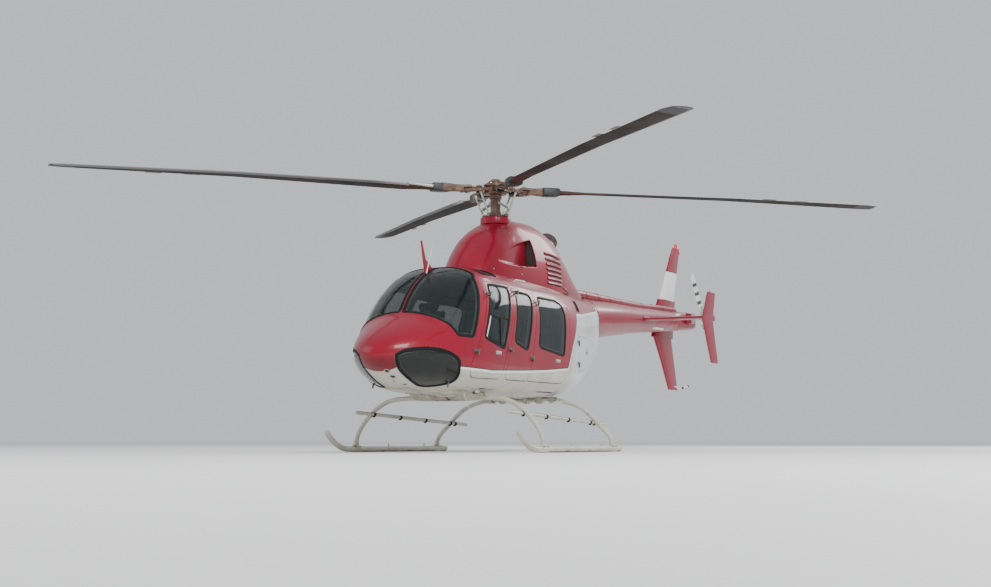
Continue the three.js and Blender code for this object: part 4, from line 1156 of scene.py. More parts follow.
# The holes are not cut: each is a black disc standing on the belly, painted shade of the hole's inside.
holes = [onBelly(turnedProfile([(size, -2), (size, 4.6), (1, 4.6)], sides=28), x, y)
         for x, y, size in bellyFittings["holes"]]
makePiece("bellyHoleShadeDiscs", holes, "black", slot="white_paint")
lampX, lampY = 1605, 205
dome = turnedProfile([(232, -34), (226, -6), (205, 9), (160, 18), (120, 21), (60, 22), (1, 22)], sides=72)
makePiece("lampBlister", [onBelly(dome, lampX + 95, lampY + 30)], "cream")
lampRing = turnedProfile([(118, 8), (121, 24), (116, 30), (84, 30), (78, 20), (72, 20), (72, 31), (66, 33),
                          (64, 24), (64, 8)], sides=64)
makePiece("landingLampRing", [onBelly(lampRing, lampX, lampY)], "steel")
lens = turnedProfile([(64, 10), (64, 24), (50, 30), (26, 33.5), (1, 35)], sides=48)
makePiece("landingLampLens", [onBelly(lens, lampX, lampY)], "clearLens")
whipFoot = bellySpot(1584, 391)[0]
whip = smoothLine([whipFoot + (0, 0, -30), (1500, 391, 545), (1320, 391, 300)], 24)
whips = [barPart(whipFoot + (0, 0, 8), whipFoot + (0, 0, -34), 15, 20, 9), sweepPart(whip, circle(10, 4))]
makePiece("bellyWhip", whips, "white")
bars = [onBelly(softBlock((-36, -15, -4), (36, 15, 24), 6), 1489, 506),
        onBelly(softBlock((-70, -30, -3), (70, 30, 5), 8), 420, 330),
        barPart((-690, 455, 612), (-745, 560, 612), 9, 14),
        barPart((-717, 507, 612), (-717, 507, 690), 7, 12)]
makePiece("bellyBlocks", bars, "white")
frontDrain = smoothLine([(1440, 92, 672), (1440, 92, 625), (1415, 92, 604), (1375, 92, 600)], 20)
rearDrain = smoothLine([(-300, -200, 668), (-300, -200, 630), (-330, -200, 612), (-370, -200, 610)], 20)
pipes = [sweepPart(frontDrain, circle(14, 11)), sweepPart(rearDrain, circle(12, 9)),
         onBelly(softBlock((-20, -34, -4), (20, 34, 26), 5), 1455, 470)]
makePiece("drainPipes", pipes, "darkSteel")
seamPlan = densified([(2290, -195), (2268, 0), (2290, 195)], 15, closed=False)
seamFlat = fromPlan(np.abs(seamPlan), False)
seamPath = skinPoint(*seamFlat.T, -0.5)
seamPath[:, 1] = seamPlan[:, 1]
makePiece("noseSeamStrip", [sweepPart(seamPath, railSection(22, 3), (0, 0, -1))], "white")
rail = np.array([(-1290, 0, 1610), (-1290, 115, 1612), (-1310, 122, 1612), (-1630, 118, 1612),
                 (-1650, 110, 1612), (-1650, 0, 1612)], float)
rail[:, 1] += skinY(rail[:, 0], rail[:, 2])
bent = [(1 - t) * rail[i] + t * rail[i + 1] for i in range(5) for t in np.linspace(0, 1, 6)[:-1]]
antennas = [sweepPart(np.vstack(bent + [rail[-1:]]), circle(12, 7), (0.1, 0.1, 1)),
            barPart((1840, 40, 2010), (1700, 40, 2330), 7, 12, 3.5)]
antennas += [seated(screw(26, 7, 20), *sideSpot(x, 1611)) for x in (-1290, -1650)]
antennas += bothParts([barPart((x, 640, 1975), (x, 668, 2000), 6, 10) for x in (820, 600)]
                      + [barPart((835, 668, 2000), (585, 668, 2000), 7.5, 12)])
makePiece("antennas", antennas, "white")
cap = turnedProfile([(52, -3), (52, 2), (48, 4), (40, 4), (38, 9), (33, 11), (1, 11)], sides=40)
fuel = [cap, softBlock((-22, -5, 10), (22, 5, 16), 2)]
makePiece("fuelCap", [seated(part, *sideSpot(-820, 1480, -1)) for part in fuel], "steel")
vents = [seated(softBlock((-75, -3.5 + dz, -2), (75, 3.5 + dz, 6), 3), *sideSpot(-1180, 1130, -1))
         for dz in range(-60, 61, 20)]
vents += [sideStrip([(x, 1900), (x + 40, 1760)], railSection(7, 5)) for x in (-1100, -1140, -1180, -1220)]
makePiece("sideVents", vents, "black")
print("body fittings made")


# Cowling sections: place, top, half width, squareness; a squared arch stands on straight sides.
cowlRows = [(960, 2140, 150, 2.0), (850, 2270, 270, 2.1), (700, 2430, 360, 2.2), (450, 2650, 430, 2.3),
            (150, 2785, 475, 2.3), (-160, 2850, 500, 2.3), (-550, 2860, 520, 2.3), (-900, 2800, 505, 2.3),
            (-1250, 2600, 455, 2.2), (-1600, 2360, 385, 2.1), (-1950, 2160, 300, 2.0),
            (-2150, 2090, 220, 2.0)]
intakeRows = [(640, -5, 2265, 2330), (400, 35, 2240, 2420), (120, 85, 2245, 2510), (-161, 125, 2265, 2570)]
archZ, cowlSplitX = 2000.0, -160.0


# A point of the cowling at x, t of the way up its half ring: below the arch the side is straight.
def cowlPoint(x, t):
    top, half, square = readTable(cowlRows, x)
    a = t * np.pi / 2
    c, s = np.cos(a), np.sin(a)
    reach = (np.abs(c / half) ** square + np.abs(s / (top - archZ)) ** square) ** (-1 / square)
    y, z = np.where(t < 0, half, reach * c), np.where(t < 0, archZ + t * 100, archZ + reach * s)
    return np.stack([x, y, z], -1)


# Inside where (|y| / width)^n + (|z| / height)^n is below 1, width and height less a margin.
def hullInside(points, margin):
    x, y, z = np.moveaxis(points, -1, 0)
    bottom, top, half, waist, low, high = hullShape(x)
    up = z > waist
    square = np.where(up, high, low)
    height = np.where(up, top - waist, waist - bottom) - margin
    return (np.abs(y) / (half - margin)) ** square + (np.abs(z - waist) / height) ** square < 1


# Halving finds where each ring goes under the skin; its points are spread evenly over what stands out.
def cowlGrid(x, columns):
    low, high = np.full(len(x), -0.8), np.full(len(x), 0.98)
    halvings, margin = 26, 14
    for _ in range(halvings):
        mid = (low + high) / 2
        under = hullInside(cowlPoint(x, mid), margin)
        low, high = np.where(under, mid, low), np.where(under, high, mid)
    t = low[:, None] + (1 - low)[:, None] * np.linspace(0, 1, columns)[None]
    return cowlPoint(np.repeat(x[:, None], columns, 1), t)


# The intake is a hollow pressed in sideways: full depth in its middle band, with soft edges above and below.
def pressedIn(grid):
    x, y, z = np.moveaxis(grid, -1, 0)
    depth, low, high = readTable(intakeRows, x)
    share = np.clip(np.minimum(z - low, high - z) / 46 + 0.5, 0, 1)
    share = share * share * (3 - 2 * share)
    share = np.where((x > 640) | (x < cowlSplitX - 1), 0, share)
    top, half, square = readTable(cowlRows, x)
    rise = np.clip(((low + high) / 2 - archZ) / (top - archZ), 0, 1)
    floor = half * (1 - rise**square) ** (1 / square) - np.maximum(depth, 0)
    pressed = np.minimum(y, y * (1 - share) + floor * share)
    return np.stack([x, np.where(depth > 0, pressed, y), z], -1)


def bothSides(half):
    return np.concatenate([half[:, :-1], (half * (1, -1, 1))[:, ::-1]], 1)


# A wall of even thickness under a grid: the same grid moved in along its normals, joined all round.
def walledPart(grid, thickness):
    inner = grid - unit(np.cross(np.gradient(grid, axis=0), np.gradient(grid, axis=1))) * thickness
    points, faces = gridPart(grid)
    innerPoints, innerFaces = gridPart(inner)
    rows, columns = grid.shape[:2]
    index = np.arange(rows * columns).reshape(rows, columns)
    rim = np.concatenate([index[0, :-1], index[:-1, -1], index[-1, :0:-1], index[:0:-1, 0]])
    after = np.roll(rim, -1)
    count = len(points)
    band = np.stack([after, rim, rim + count, after + count], -1)
    return turnedOut((np.vstack([points, innerPoints]), [faces[0], innerFaces[0][:, ::-1] + count, band]))


frontX = np.concatenate([np.linspace(958, 700, 26)[:-1], np.linspace(700, cowlSplitX + 3, 60)])
frontCowl = pressedIn(cowlGrid(frontX, 150))
makePiece("transmissionCowlSkin", [walledPart(bothSides(frontCowl), 6)], "cowl", node="transmission_cowl")
engineX = np.linspace(cowlSplitX, -2149, 110)
makePiece("engineCowlSkin", [walledPart(bothSides(cowlGrid(engineX, 64)), 8)], "cowl", node="engine_cowl")


# Points and outward directions on the cowling; y is mirrored for the right side.
def cowlSpots(x, t, sign):
    x, t = np.broadcast_arrays(np.asarray(x, float), np.asarray(t, float))
    place = cowlPoint(x, t)
    along = cowlPoint(x + 2, t) - cowlPoint(x - 2, t)
    round_ = cowlPoint(x, t + 0.004) - cowlPoint(x, t - 0.004)
    out = unit(np.cross(along, round_))
    out *= np.sign(np.sum(out * (place - (0, 0, 2000)), -1, keepdims=True))
    return place * (1, sign, 1), out * (1, sign, 1)


def cowlStrip(x0, x1, t0, t1, section, sign):
    place, out = cowlSpots(np.linspace(x0, x1, 24), np.linspace(t0, t1, 24), sign)
    return sweepPart(place, section, out)


cowlTrim = {"louvres": (0.10, 0.165, 0.23, 0.295, 0.36, 0.425, 0.49), "louvreFrom": -420, "louvreTo": -820,
            "rings": (700, 200, -600, -1020, -1450, -1860), "fastenerStep": 0.11}
louvre = [(-17, -2), (17, -2), (17, 3), (13, 13), (6, 15), (-12, 6), (-17, 1)]
hoods, slotShades, fasteners = [], [], []
for sign in (1, -1):
    turned = [(a * sign, b) for a, b in louvre]
    for t in cowlTrim["louvres"]:
        x0, x1 = cowlTrim["louvreFrom"], cowlTrim["louvreTo"] - 160 * t
        hoods.append(cowlStrip(x0, x1, t, t * 0.98, turned, sign))
        # A black strip below each louvre hood: painted shade in the louvre's opening.
        slotShades.append(cowlStrip(x0 - 6, x1 + 6, t - 0.022, t * 0.98 - 0.022, railSection(15, 3.5), sign))
    # A wider black strip low on the engine cowl: painted shade in a slot.
    slotShades.append(cowlStrip(-900, -1120, -0.30, -0.36, railSection(46, 3), sign))
    hoods += [cowlStrip(-890, -1130, t, t - 0.06, railSection(7, 9), sign) for t in (0.06, -0.66)]
    t = np.arange(0.06, 1.0, cowlTrim["fastenerStep"])
    for x in cowlTrim["rings"]:
        place, out = cowlSpots(np.full(len(t), x + 16.0), t, sign)
        keep = ~((place[:, 0] > -160) & (place[:, 2] > 2190) & (place[:, 2] < 2590))
        keep &= np.hypot(place[:, 0], place[:, 1]) > 190
        fasteners.append(scattered(screw(8, 2.2, 12), place[keep], out[keep]))
makePiece("cowlLouvres", hoods, "red")
makePiece("cowlSlotShades", slotShades, "black")
makePiece("cowlFasteners", fasteners, "steel")
mouth = frontCowl[-1][:, 1:]
openEdge = cowlGrid(frontX[-1:], 150)[0][:, 1:]
gapped = openEdge[:, 0] - mouth[:, 0] > 3
outline = np.vstack([mouth[gapped], openEdge[gapped][::-1] - (9, 0)])


def crossLay(points):
    return np.stack([cowlSplitX - 12 + points[:, 2], points[:, 0], points[:, 1]], -1)


# The screen is a solid plate across the intake; its near-black gaps are painted shade of the intake behind.
screen = platePart(outline, 0, 8, 0.8, crossLay)
makePiece("intakeScreens", bothParts([screen]), "screen")
rimY, rimZ = openEdge[gapped].T
rim = np.stack([0 * rimY + cowlSplitX + 4, rimY - 3, rimZ], -1)
makePiece("intakeLips", bothParts([sweepPart(rim, circle(12, 8), (1, 0, 0))]), "red")
collar = [(168, 2780), (188, 2780), (188, 2846), (184, 2858), (176, 2861), (168, 2858)]
makePiece("mastCollar", [turnedProfile(collar, sides=72, ring=True)], "red")
print("cowlings made")

exhaustFrom, exhaustTo = np.array([-1180.0, 0, 2440]), np.array([-1560.0, 0, 2740])
exhaustLength = float(np.linalg.norm(exhaustTo - exhaustFrom))
exhaustWay = unit(exhaustTo - exhaustFrom)


def exhaustTurned(profile, sides=64):
    return turnedProfile(profile, exhaustFrom, exhaustWay, sides)


pipe = [(0.5, 40), (112, 40), (116, exhaustLength - 8), (119, exhaustLength), (124, exhaustLength + 2),
        (127, exhaustLength - 4), (125, exhaustLength - 12), (124, exhaustLength - 16), (124, 0), (0.5, 0)]
makePiece("exhaustStack", [turnedProfile(pipe, exhaustFrom, exhaustTo - exhaustFrom, 64)], "exhaust",
          node="exhaust_duct")
clamp = softBlock((-9, -16, 0), (9, 16, 16), 3)
bands = [exhaustTurned([(124, at), (129, at), (130, at + 4), (130, at + 18), (129, at + 22), (124, at + 22)])
         for at in (150, 330)]
bands += [seated(clamp, exhaustFrom + exhaustWay * (at + 11) + (0, 128, 0), (0, 1, 0), exhaustWay)
          for at in (150, 330)]
makePiece("exhaustBands", bands, "steel", slot="exhaust_steel")
plug = exhaustTurned([(1, 60), (52, 60), (48, 200), (30, 300), (8, 340), (1, 342)], 40)
strutFoot = exhaustFrom + exhaustWay * 180
strut = barPart(strutFoot + (0, 40, 0), strutFoot + (0, 118, 0), 5, 8)
struts = [turnPart(strut, 90 * k + 45, exhaustWay, exhaustFrom) for k in range(4)]
makePiece("exhaustPlug", [plug] + struts, "exhaust")

boomRows = [(-2560.3, 1785, 275), (-3500, 1842, 245), (-4470, 1895, 200), (-5800, 1960, 165),
            (-6900, 2020, 140), (-7030, 2030, 105)]
coverRows = [(-2250, 2085, 66), (-2300, 2110, 70), (-4400, 2110, 55), (-6300, 2152, 45), (-6350, 2130, 30)]


# The boom is round and turns square towards its end: a ring point lies at (|cos|^n + |sin|^n)^(-1/n) of the
# radius, with n rising from 2; the last 34 mm draw in to a flat end. A drive shaft cover lies along its top.
def tailBoom():
    x = np.concatenate([np.linspace(-2480, -6985, 110), -6985 - 34 * np.sin(np.linspace(0.1, np.pi / 2, 9))])
    z, radius = readTable(boomRows, x)
    closing = np.clip((-6985 - x) / 34, 0, 1)
    square = 2 + 3 * np.clip((-6050 - x) / 450, 0, 1)[:, None]
    radius = radius * (1 - 0.07 * (square[:, 0] - 2) / 3) - 30 * (1 - np.sqrt(1 - closing**2))
    a = np.arange(80) * 2 * np.pi / 80
    reach = radius[:, None] * (np.abs(np.cos(a)) ** square + np.abs(np.sin(a)) ** square) ** (-1 / square)
    grid = np.stack([np.repeat(x[:, None], 80, 1), reach * np.cos(a), z[:, None] + reach * np.sin(a)], -1)
    at = np.linspace(-2250, -6350, 60)
    coverZ, coverRadius = readTable(coverRows, at)
    path = np.stack([at, 0 * at, coverZ], -1)
    return [loftPart(grid), sweepPart(path, circle(28), (0, 0, 1), coverRadius)]


makePiece("tailBoomSkin", tailBoom(), "boom", node="tail_boom")


# Half thickness of a streamlined section along its chord, thickest a third of the way back.
def foilRise(t):
    return 5 * (0.2969 * np.sqrt(t) - 0.1260 * t - 0.3516 * t**2 + 0.2843 * t**3 - 0.1036 * t**4)


foilT = (1 - np.cos(np.linspace(0, np.pi, 21))) / 2


# A closed section as (share of the chord, share of the thickness), with a small blunt tail.
def foilLoop():
    rise = foilRise(foilT) + 0.012 * foilT
    return np.vstack([np.stack([foilT, rise], -1), np.stack([foilT, -rise], -1)[-1:0:-1]])


# Streamlined sections stacked upwards: rows of height, front edge, rear edge and half thickness.
def uprightFoil(rows, y, steps=40):
    table = np.array(sorted(rows), float)
    heights = np.linspace(table[0, 0], table[-1, 0], steps)
    lead, trail, thick = (np.interp(heights, table[:, 0], table[:, i]) for i in (1, 2, 3))
    section = foilLoop()
    x = lead[:, None] + (trail - lead)[:, None] * section[None, :, 0]
    across = y + thick[:, None] * section[None, :, 1]
    return loftPart(np.stack([x, across, np.repeat(heights[:, None], len(section), 1)], -1))


finY, finletY = -175, 1150
finRows = [(930, -6480, -6900, 36), (1400, -6140, -6740, 60), (1850, -5760, -6590, 90),
           (2440, -6190, -6790, 70), (3060, -6610, -7000, 44), (3200, -6720, -7045, 30)]
finletRows = [(1250, -4680, -5005, 20), (1600, -4470, -4880, 24), (1880, -4310, -4790, 24),
              (2270, -4550, -4905, 20)]
makePiece("finSkin", [uprightFoil(finRows, finY)], "fin", node="vertical_fin")
for side, sign in (("left", 1), ("right", -1)):
    makePiece("finlet" + side.capitalize(), [uprightFoil(finletRows, sign * finletY)],
              "red", node=f"finlet_{side}")


def tailplane():
    section = foilLoop()
    y = np.linspace(-1147, 1147, 24)
    x = np.repeat((-4490 - 440 * section[:, 0])[None], len(y), 0)
    z = np.repeat((1905 + 52 * section[:, 1])[None], len(y), 0)
    return loftPart(np.stack([x, np.repeat(y[:, None], len(section), 1), z], -1))


makePiece("tailplane", [tailplane()], "red", node="stabiliser")
tailSkidPath = smoothLine([(-6700, finY, 990), (-6780, finY, 985), (-7000, finY, 968), (-7250, finY, 985),
                           (-7400, finY, 1010)], 40)
makePiece("tailSkidTube", [sweepPart(tailSkidPath, circle(18, 15))], "white", node="tail_skid")


# A ring round the boom that stands a little out of it.
def boomRing(x, width, height):
    z, radius = readTable(boomRows, x)
    edge = [(radius - 3, -width / 2), (radius + height * 0.6, -width / 2), (radius + height, -width / 2 + 2)]
    return turnedProfile(edge + [(r, -at) for r, at in edge[::-1]], (x, 0, z), (1, 0, 0), 64)


makePiece("boomJoint", [boomRing(-2625, 26, 4.5), boomRing(-5960, 18, 3)], "red")
clips, straps = [], []
for x in np.arange(-2700, -6200, -430.0):
    z, radius = readTable(coverRows, x)
    band = [(radius - 2, -9), (radius + 2.6, -9), (radius + 2.6, 9), (radius - 2, 9)]
    straps.append(turnedProfile(band, (x, 0, z), (1, 0, 0), 40))
    for sign in (1, -1):
        clips.append(seated(softBlock((-15, -6, -1), (15, 6, 7), 3),
                            (x, sign * radius * 0.92, z + radius * 0.4), (0, sign * 0.92, 0.4)))
makePiece("shaftCoverStraps", straps, "red")
makePiece("shaftCoverClips", clips, "steel")
bolts = []
a = np.arange(32) * 2 * np.pi / 32
out = np.stack([0 * a, np.cos(a), np.sin(a)], -1)
for x in (-2612, -2638):
    z, radius = readTable(boomRows, x)
    bolts.append(scattered(screw(5, 4.5, 8), (x, 0, z) + out * (radius + 2.5), out))
makePiece("boomBolts", bolts, "steel")
tailBits = {  # finish: soft blocks as low and high corner
    "redLens": [((-4700, finletY - 9, 2262), (-4640, finletY + 9, 2292)),
                ((-7062, finY - 9, 3120), (-7030, finY + 9, 3160))],
    "greenLens": [((-4700, -finletY - 9, 2262), (-4640, -finletY + 9, 2292))],
    "clearLens": [((-7030, -14, 2010), (-7004, 14, 2056))],
}
for tone, rows in tailBits.items():
    makePiece("tailLamp" + tone[:3].capitalize(), [softBlock(*corners, 8) for corners in rows], tone,
              slot="bare_metal")
beacon = [(34, 3180), (34, 3206), (31, 3214), (29, 3216), (29, 3240), (24, 3262), (12, 3276), (1, 3280)]
makePiece("finBeacon", [turnedProfile(beacon, (-6880, finY, 0), sides=32)], "redLens")
roots = [softBlock((-4950, sign * 195 - 14, 1866), (-4470, sign * 195 + 14, 1944), 13) for sign in (1, -1)]
roots += [softBlock((-4915, sign * 1132 - 7, 1862), (-4500, sign * 1132 + 7, 1948), 6) for sign in (1, -1)]
roots += [softBlock((-4944, y - 3, 1900), (-4926, y + 3, 1912), 2) for y in np.linspace(-1000, 1000, 9)]
makePiece("tailplaneRoots", roots, "red")
z, radius = readTable(boomRows, -5220)
lowLeft = np.array([0, 0.73, -0.68])
antenna = softBlock((-225, -18, -12), (225, 18, 16), 13)
makePiece("boomAntenna", [seated(antenna, (-5220, 0, z) + lowLeft * radius, lowLeft)], "white")
finBase = [(1730, -5784, -6702, 116), (2120, -5914, -6762, 110), (2330, -6064, -6822, 102)]
fairing = [uprightFoil(finBase, finY, 10), softBlock((-6680, -190, 1900), (-5940, -60, 2140), 60)]
makePiece("finFairing", fairing, "red")
bands = [sweepPart(run, circle(18, 16.2)) for run in (tailSkidPath[20:27], tailSkidPath[36:])]
makePiece("tailSkidBand", bands, "rubber", slot="white_paint")
print("tail made")

crossHeights = {"front": [623, 625, 582, 425, 150, 42], "rear": [636, 638, 540, 343, 130, 42]}
crossX = {"front": 1250, "rear": -760}
skidY, skidRadius, stepY = 1220, 34, 970
stepRows = ((-1100, 338), (-300, 372), (700, 415), (1650, 456))


def crossTube(end):
    half = [(crossX[end], y, z) for y, z in zip([0, 480, 800, 1030, 1208, 1220], crossHeights[end])]
    path = [(x, -y, z) for x, y, z in half[:0:-1]] + half
    return sweepPart(smoothLine(path, 120), circle(28, 27), (1, 0, 0))


# A skid is straight, then turns up along the curve (1 - t)^2 a + 2 t (1 - t) b + t^2 c.
def skidTube(sign):
    t = np.linspace(0, 1, 22)[:, None]
    bend = (1 - t) ** 2 * (1420, 0, 0) + 2 * t * (1 - t) * (1690, 0, 0) + t**2 * (1910, 0, 200)
    path = np.vstack([[(-1010, 0, 0), (-1000, 0, 0), (-400, 0, 0), (400, 0, 0)], bend])
    scale = np.full(len(path), skidRadius - 1.5)
    scale[[0, -1]] = skidRadius - 8
    return sweepPart(path + (0, sign * skidY, skidRadius + 2), circle(28), (0, 1, 0), scale)


gearBits = {"clamps": (1270, 650, -10, -760), "stepClamps": (1265, 640, 10, -650, -775), "fairing": 470,
            "shoes": ((-985, -860), (-660, -110), (90, 550), (750, 1150))}


# Half a ring that hugs the underside of a tube along x.
def underShoe(x0, x1, y, z, inner, outer, reach=0.62):
    a = np.linspace(-np.pi / 2 - np.pi * reach / 2, -np.pi / 2 + np.pi * reach / 2, 13)
    arc = np.stack([np.cos(a), np.sin(a)], -1)
    section = np.vstack([arc * outer, arc[::-1] * inner])
    x = np.array([x0, x0 + 2, x1 - 2, x1], float)
    grid = np.zeros((4, len(section), 3))
    grid[..., 0] = x[:, None]
    grid[..., 1:] = section[None] + (y, z)
    return loftPart(grid)


for end in ("front", "rear"):
    x = crossX[end]
    clamps = [softBlock((x - 55, side * 420 - 35, 596), (x + 55, side * 420 + 35, 680), 10)
              for side in (-1, 1)]
    makePiece("crossTube" + end.capitalize(), [crossTube(end)] + clamps, "gear", node=f"cross_tube_{end}")
for side, sign in (("left", 1), ("right", -1)):
    makePiece("skidTube" + side.capitalize(), [skidTube(sign)], "gear", node=f"skid_{side}")
    step = smoothLine([(x, sign * stepY, z) for x, z in stepRows], 40)
    makePiece("flightStep" + side.capitalize(), [sweepPart(step, circle(24, 20.5))], "gear",
              node=f"step_{side}")
shoes, saddles, bolts, grips = [], [], [], []
for sign in (1, -1):
    y = sign * skidY
    for x in gearBits["clamps"]:
        shoes.append(underShoe(x - 62, x + 62, y, 36, 32.5, 35.6))
        bolts += [movePart(turnPart(screw(5, 7), 90, (sign, 0, 0)), (x + dx, y - 30, 44))
                  for dx in (-45, 45)]
    shoes += [underShoe(x0, x1, y, 36, 32.4, 35.4, 0.5) for x0, x1 in gearBits["shoes"]]
    for end in ("front", "rear"):
        x = crossX[end]
        saddles += [barPart((x - 95, y, 36), (x + 95, y, 36), 35.9, 32, bevel=3),
                    barPart((x, y, 60), (x, sign * 1213, 128), 34, 28, 30.5, 3),
                    softBlock((x - 70, y - 9, 60), (x + 70, y + 9, 84), 6)]
        bolts += [barPart((x + dx, y - 40, 66), (x + dx, y + 40, 66), 5.5, 8) for dx in (-55, 55)]
    for x in gearBits["stepClamps"]:
        z = float(np.interp(x, *zip(*stepRows)))
        grips.append(barPart((x - 26, sign * stepY, z - 1), (x + 26, sign * stepY, z + 1), 24, 24))
        grips.append(softBlock((x - 18, sign * stepY - 12, z - 34), (x + 18, sign * stepY + 12, z + 4), 4))
    rows = np.linspace(-1060, 1610, 60)
    z = np.interp(rows, *zip(*stepRows))
    strip = np.stack([rows, 0 * rows + sign * stepY, z + 17.4], -1)
    grips.append(sweepPart(strip, railSection(22, 4)))
    saddles += [barPart((x, sign * stepY, z), (x + dx, sign * stepY, z + dx * 0.045), 21.5, 24, 17, 3)
                for x, z, dx in ((-1096, 338.5, -22), (1646, 456, 22))]
    saddles += [softBlock((x - 7, y - 6, 66), (x + 7, y + 6, 100), 3) for x in (480, -420)]
x = crossX["rear"]
for y, wide in ((-272, 44), (58, 36), (237, 46)):
    saddles.append(softBlock((x - 44, y - wide, 600), (x + 44, y + wide, 690), 9))
    bolts += [barPart((x + dx, y + dy, 592), (x + dx, y + dy, 612), 7, 8)
              for dx in (-28, 28) for dy in (-20, 20)]
makePiece("skidShoes", shoes, "shoe")
makePiece("skidSaddles", saddles, "gear")
makePiece("gearBolts", bolts, "darkSteel")
makePiece("stepGrips", grips, "rubber")


# The cover over the middle of the front cross tube: a rounded trapezium, drawn in to a round end each side.
def tubeFairing():
    half = gearBits["fairing"]
    y = half * np.sin(np.linspace(-np.pi / 2, np.pi / 2, 41))
    shape = roundedOutline([(-150, 678), (-92, 606), (-46, 586), (46, 586), (92, 606), (150, 678)], 30, 14)
    pull = (1 - np.abs(y / half) ** 5) * 0.7 + 0.3
    x = crossX["front"] + shape[None, :, 0] * pull[:, None]
    z = 690 - (690 - shape[None, :, 1]) * (0.62 + 0.38 * pull[:, None])
    return loftPart(np.stack([x, np.repeat(y[:, None], len(shape), 1), z], -1))


makePiece("frontTubeFairing", [tubeFairing()], "livery", slot="white_paint")
print("landing gear made")

hubZ, rotorAngle = 3210, 46
bladeRows = [(700, 150, 62, 10, 0), (900, 190, 50, 9.5, 4), (1150, 270, 34, 9, 10), (3200, 270, 32, 3, 34),
             (5180, 270, 27, -2, 22), (5335, 215, 18, -2.5, 20)]


# A blade's surface: section points are (share of the chord, share of the thickness), grown outwards in mm.
def bladeGrid(radius, section, grow=0.0):
    table = np.array(bladeRows, float)
    chord, thick, twist, rise = (np.interp(radius, table[:, 0], table[:, i])[:, None] for i in (1, 2, 3, 4))
    along = 0.27 * chord - chord * section[None, :, 0]
    up = thick * section[None, :, 1] + grow * np.sign(section[None, :, 1])
    along = along + grow * (section[None, :, 0] < 0.01)
    c, s = np.cos(np.radians(twist)), np.sin(np.radians(twist))
    return np.stack([np.repeat(radius[:, None], section.shape[0], 1), along * c - up * s,
                     hubZ + rise + along * s + up * c], -1)


# A thin skin over part of a blade: the run of section points outside, and the same run set back inside.
def bladeShell(radius, section, grow):
    outer, inner = bladeGrid(radius, section, grow), bladeGrid(radius, section[::-1], -1.0)
    return loftPart(np.concatenate([outer, inner], 1))


def onArms(parts, arms=range(4)):
    return [turnPart(part, rotorAngle + 90 * index) for index in arms for part in parts]


skinRadius = np.concatenate([np.linspace(700, 1150, 16)[:-1], np.linspace(1150, 5180, 40),
                             np.linspace(5190, 5335, 10)])
for index in range(4):
    makePiece(f"rotorBlade{index + 1}", onArms([loftPart(bladeGrid(skinRadius, foilLoop()))], (index,)),
              "blade", "main_rotor", node=f"main_blade_{index + 1}")
nose = np.roll(foilLoop(), 20, 0)[15:26]
flank = np.stack([np.linspace(0.07, 0.66, 9), foilRise(np.linspace(0.07, 0.66, 9))], -1)
doublers = [bladeShell(np.linspace(715, reach, 8), flank * (1, sign), grow) for sign in (1, -1)
            for reach, grow in ((1120, 2.0), (980, 4.0), (860, 6.0))]
tabs = [softBlock((r, -246, hubZ + rise - 2), (r + 190, -192, hubZ + rise + 2), 2)
        for r, rise in ((3600, 29), (4050, 26))]
makePiece("bladeEdges", onArms([bladeShell(np.linspace(815, 5300, 48), nose, 1.2)]), "edge", "main_rotor")
makePiece("bladeDoublers", onArms(doublers), "blade", "main_rotor")
makePiece("bladeTabs", onArms(tabs), "darkSteel", "main_rotor")
makePiece("bladeTips", onArms([bladeShell(np.array([5318.0, 5336.0]), foilLoop()[2:-2], 1.0)]), "darkSteel",
          "main_rotor")

# A blade grip: rows of radius, half width and half height.
gripRows = [(318, 46, 30), (330, 60, 44), (372, 62, 47), (400, 54, 42), (500, 50, 40), (560, 56, 43),
            (610, 62, 47), (692, 62, 48), (700, 56, 42)]


# Rounded rectangles set in a row along the arm.
def loftRows(rows, radius=14):
    rings = [roundRect(2 * w, 2 * h, min(radius, 0.9 * w, 0.9 * h)) for _, w, h in rows]
    grid = np.array([np.column_stack([np.full(20, row[0]), ring]) for row, ring in zip(rows, rings)])
    return loftPart(grid + (0, 0, hubZ))


# A threaded rod with a rod end at each end: shank, nut, and an eye with its bolt square to the rod.
def controlRod(start, end, radius, across):
    start, end, across = np.array(start, float), np.array(end, float), unit(np.array(across, float))
    way = unit(end - start)
    parts = [barPart(start + way * 26, end - way * 26, radius, 16),
             barPart(start + way * 20, start + way * 34, radius * 1.35, 6),
             barPart(end - way * 34, end - way * 20, radius * 1.35, 6)]
    for place in (start, end):
        parts += [barPart(place - across * 8, place + across * 8, radius * 1.5, 20),
                  barPart(place - across * 17, place + across * 17, radius * 0.55, 8),
                  barPart(place + across * 12, place + across * 19, radius * 0.9, 6, bevel=1)]
    return parts


hubTop = hubZ + 130
headParts = [barPart((0, 0, 2400.5), (0, 0, hubZ + 110), 55, 40),
             turnedProfile([(60, 2842), (146, 2842), (150, 2846), (150, 2858), (143, 2862), (143, 2866),
                            (150, 2870), (150, 2881), (146, 2885), (60, 2885)], sides=64),
             turnedProfile([(1, hubZ - 60), (134, hubZ - 60), (140, hubZ - 54), (140, hubZ - 34),
                            (118, hubZ - 28), (118, hubZ + 28), (140, hubZ + 34), (150, hubZ + 44),
                            (150, hubZ + 62), (142, hubZ + 70), (105, hubZ + 74), (98, hubZ + 92),
                            (60, hubTop - 8), (52, hubTop), (1, hubTop)], sides=64),
             turnedProfile([(56, 2900), (72, 2902), (72, 2930), (62, 2936), (62, 3090), (76, 3096),
                            (76, 3140), (56, 3142)], sides=40)]
arm = [softBlock((60, -78, hubZ - 22 + k * 15), (430 - k * 20, 78, hubZ - 9 + k * 15), 5) for k in range(3)]
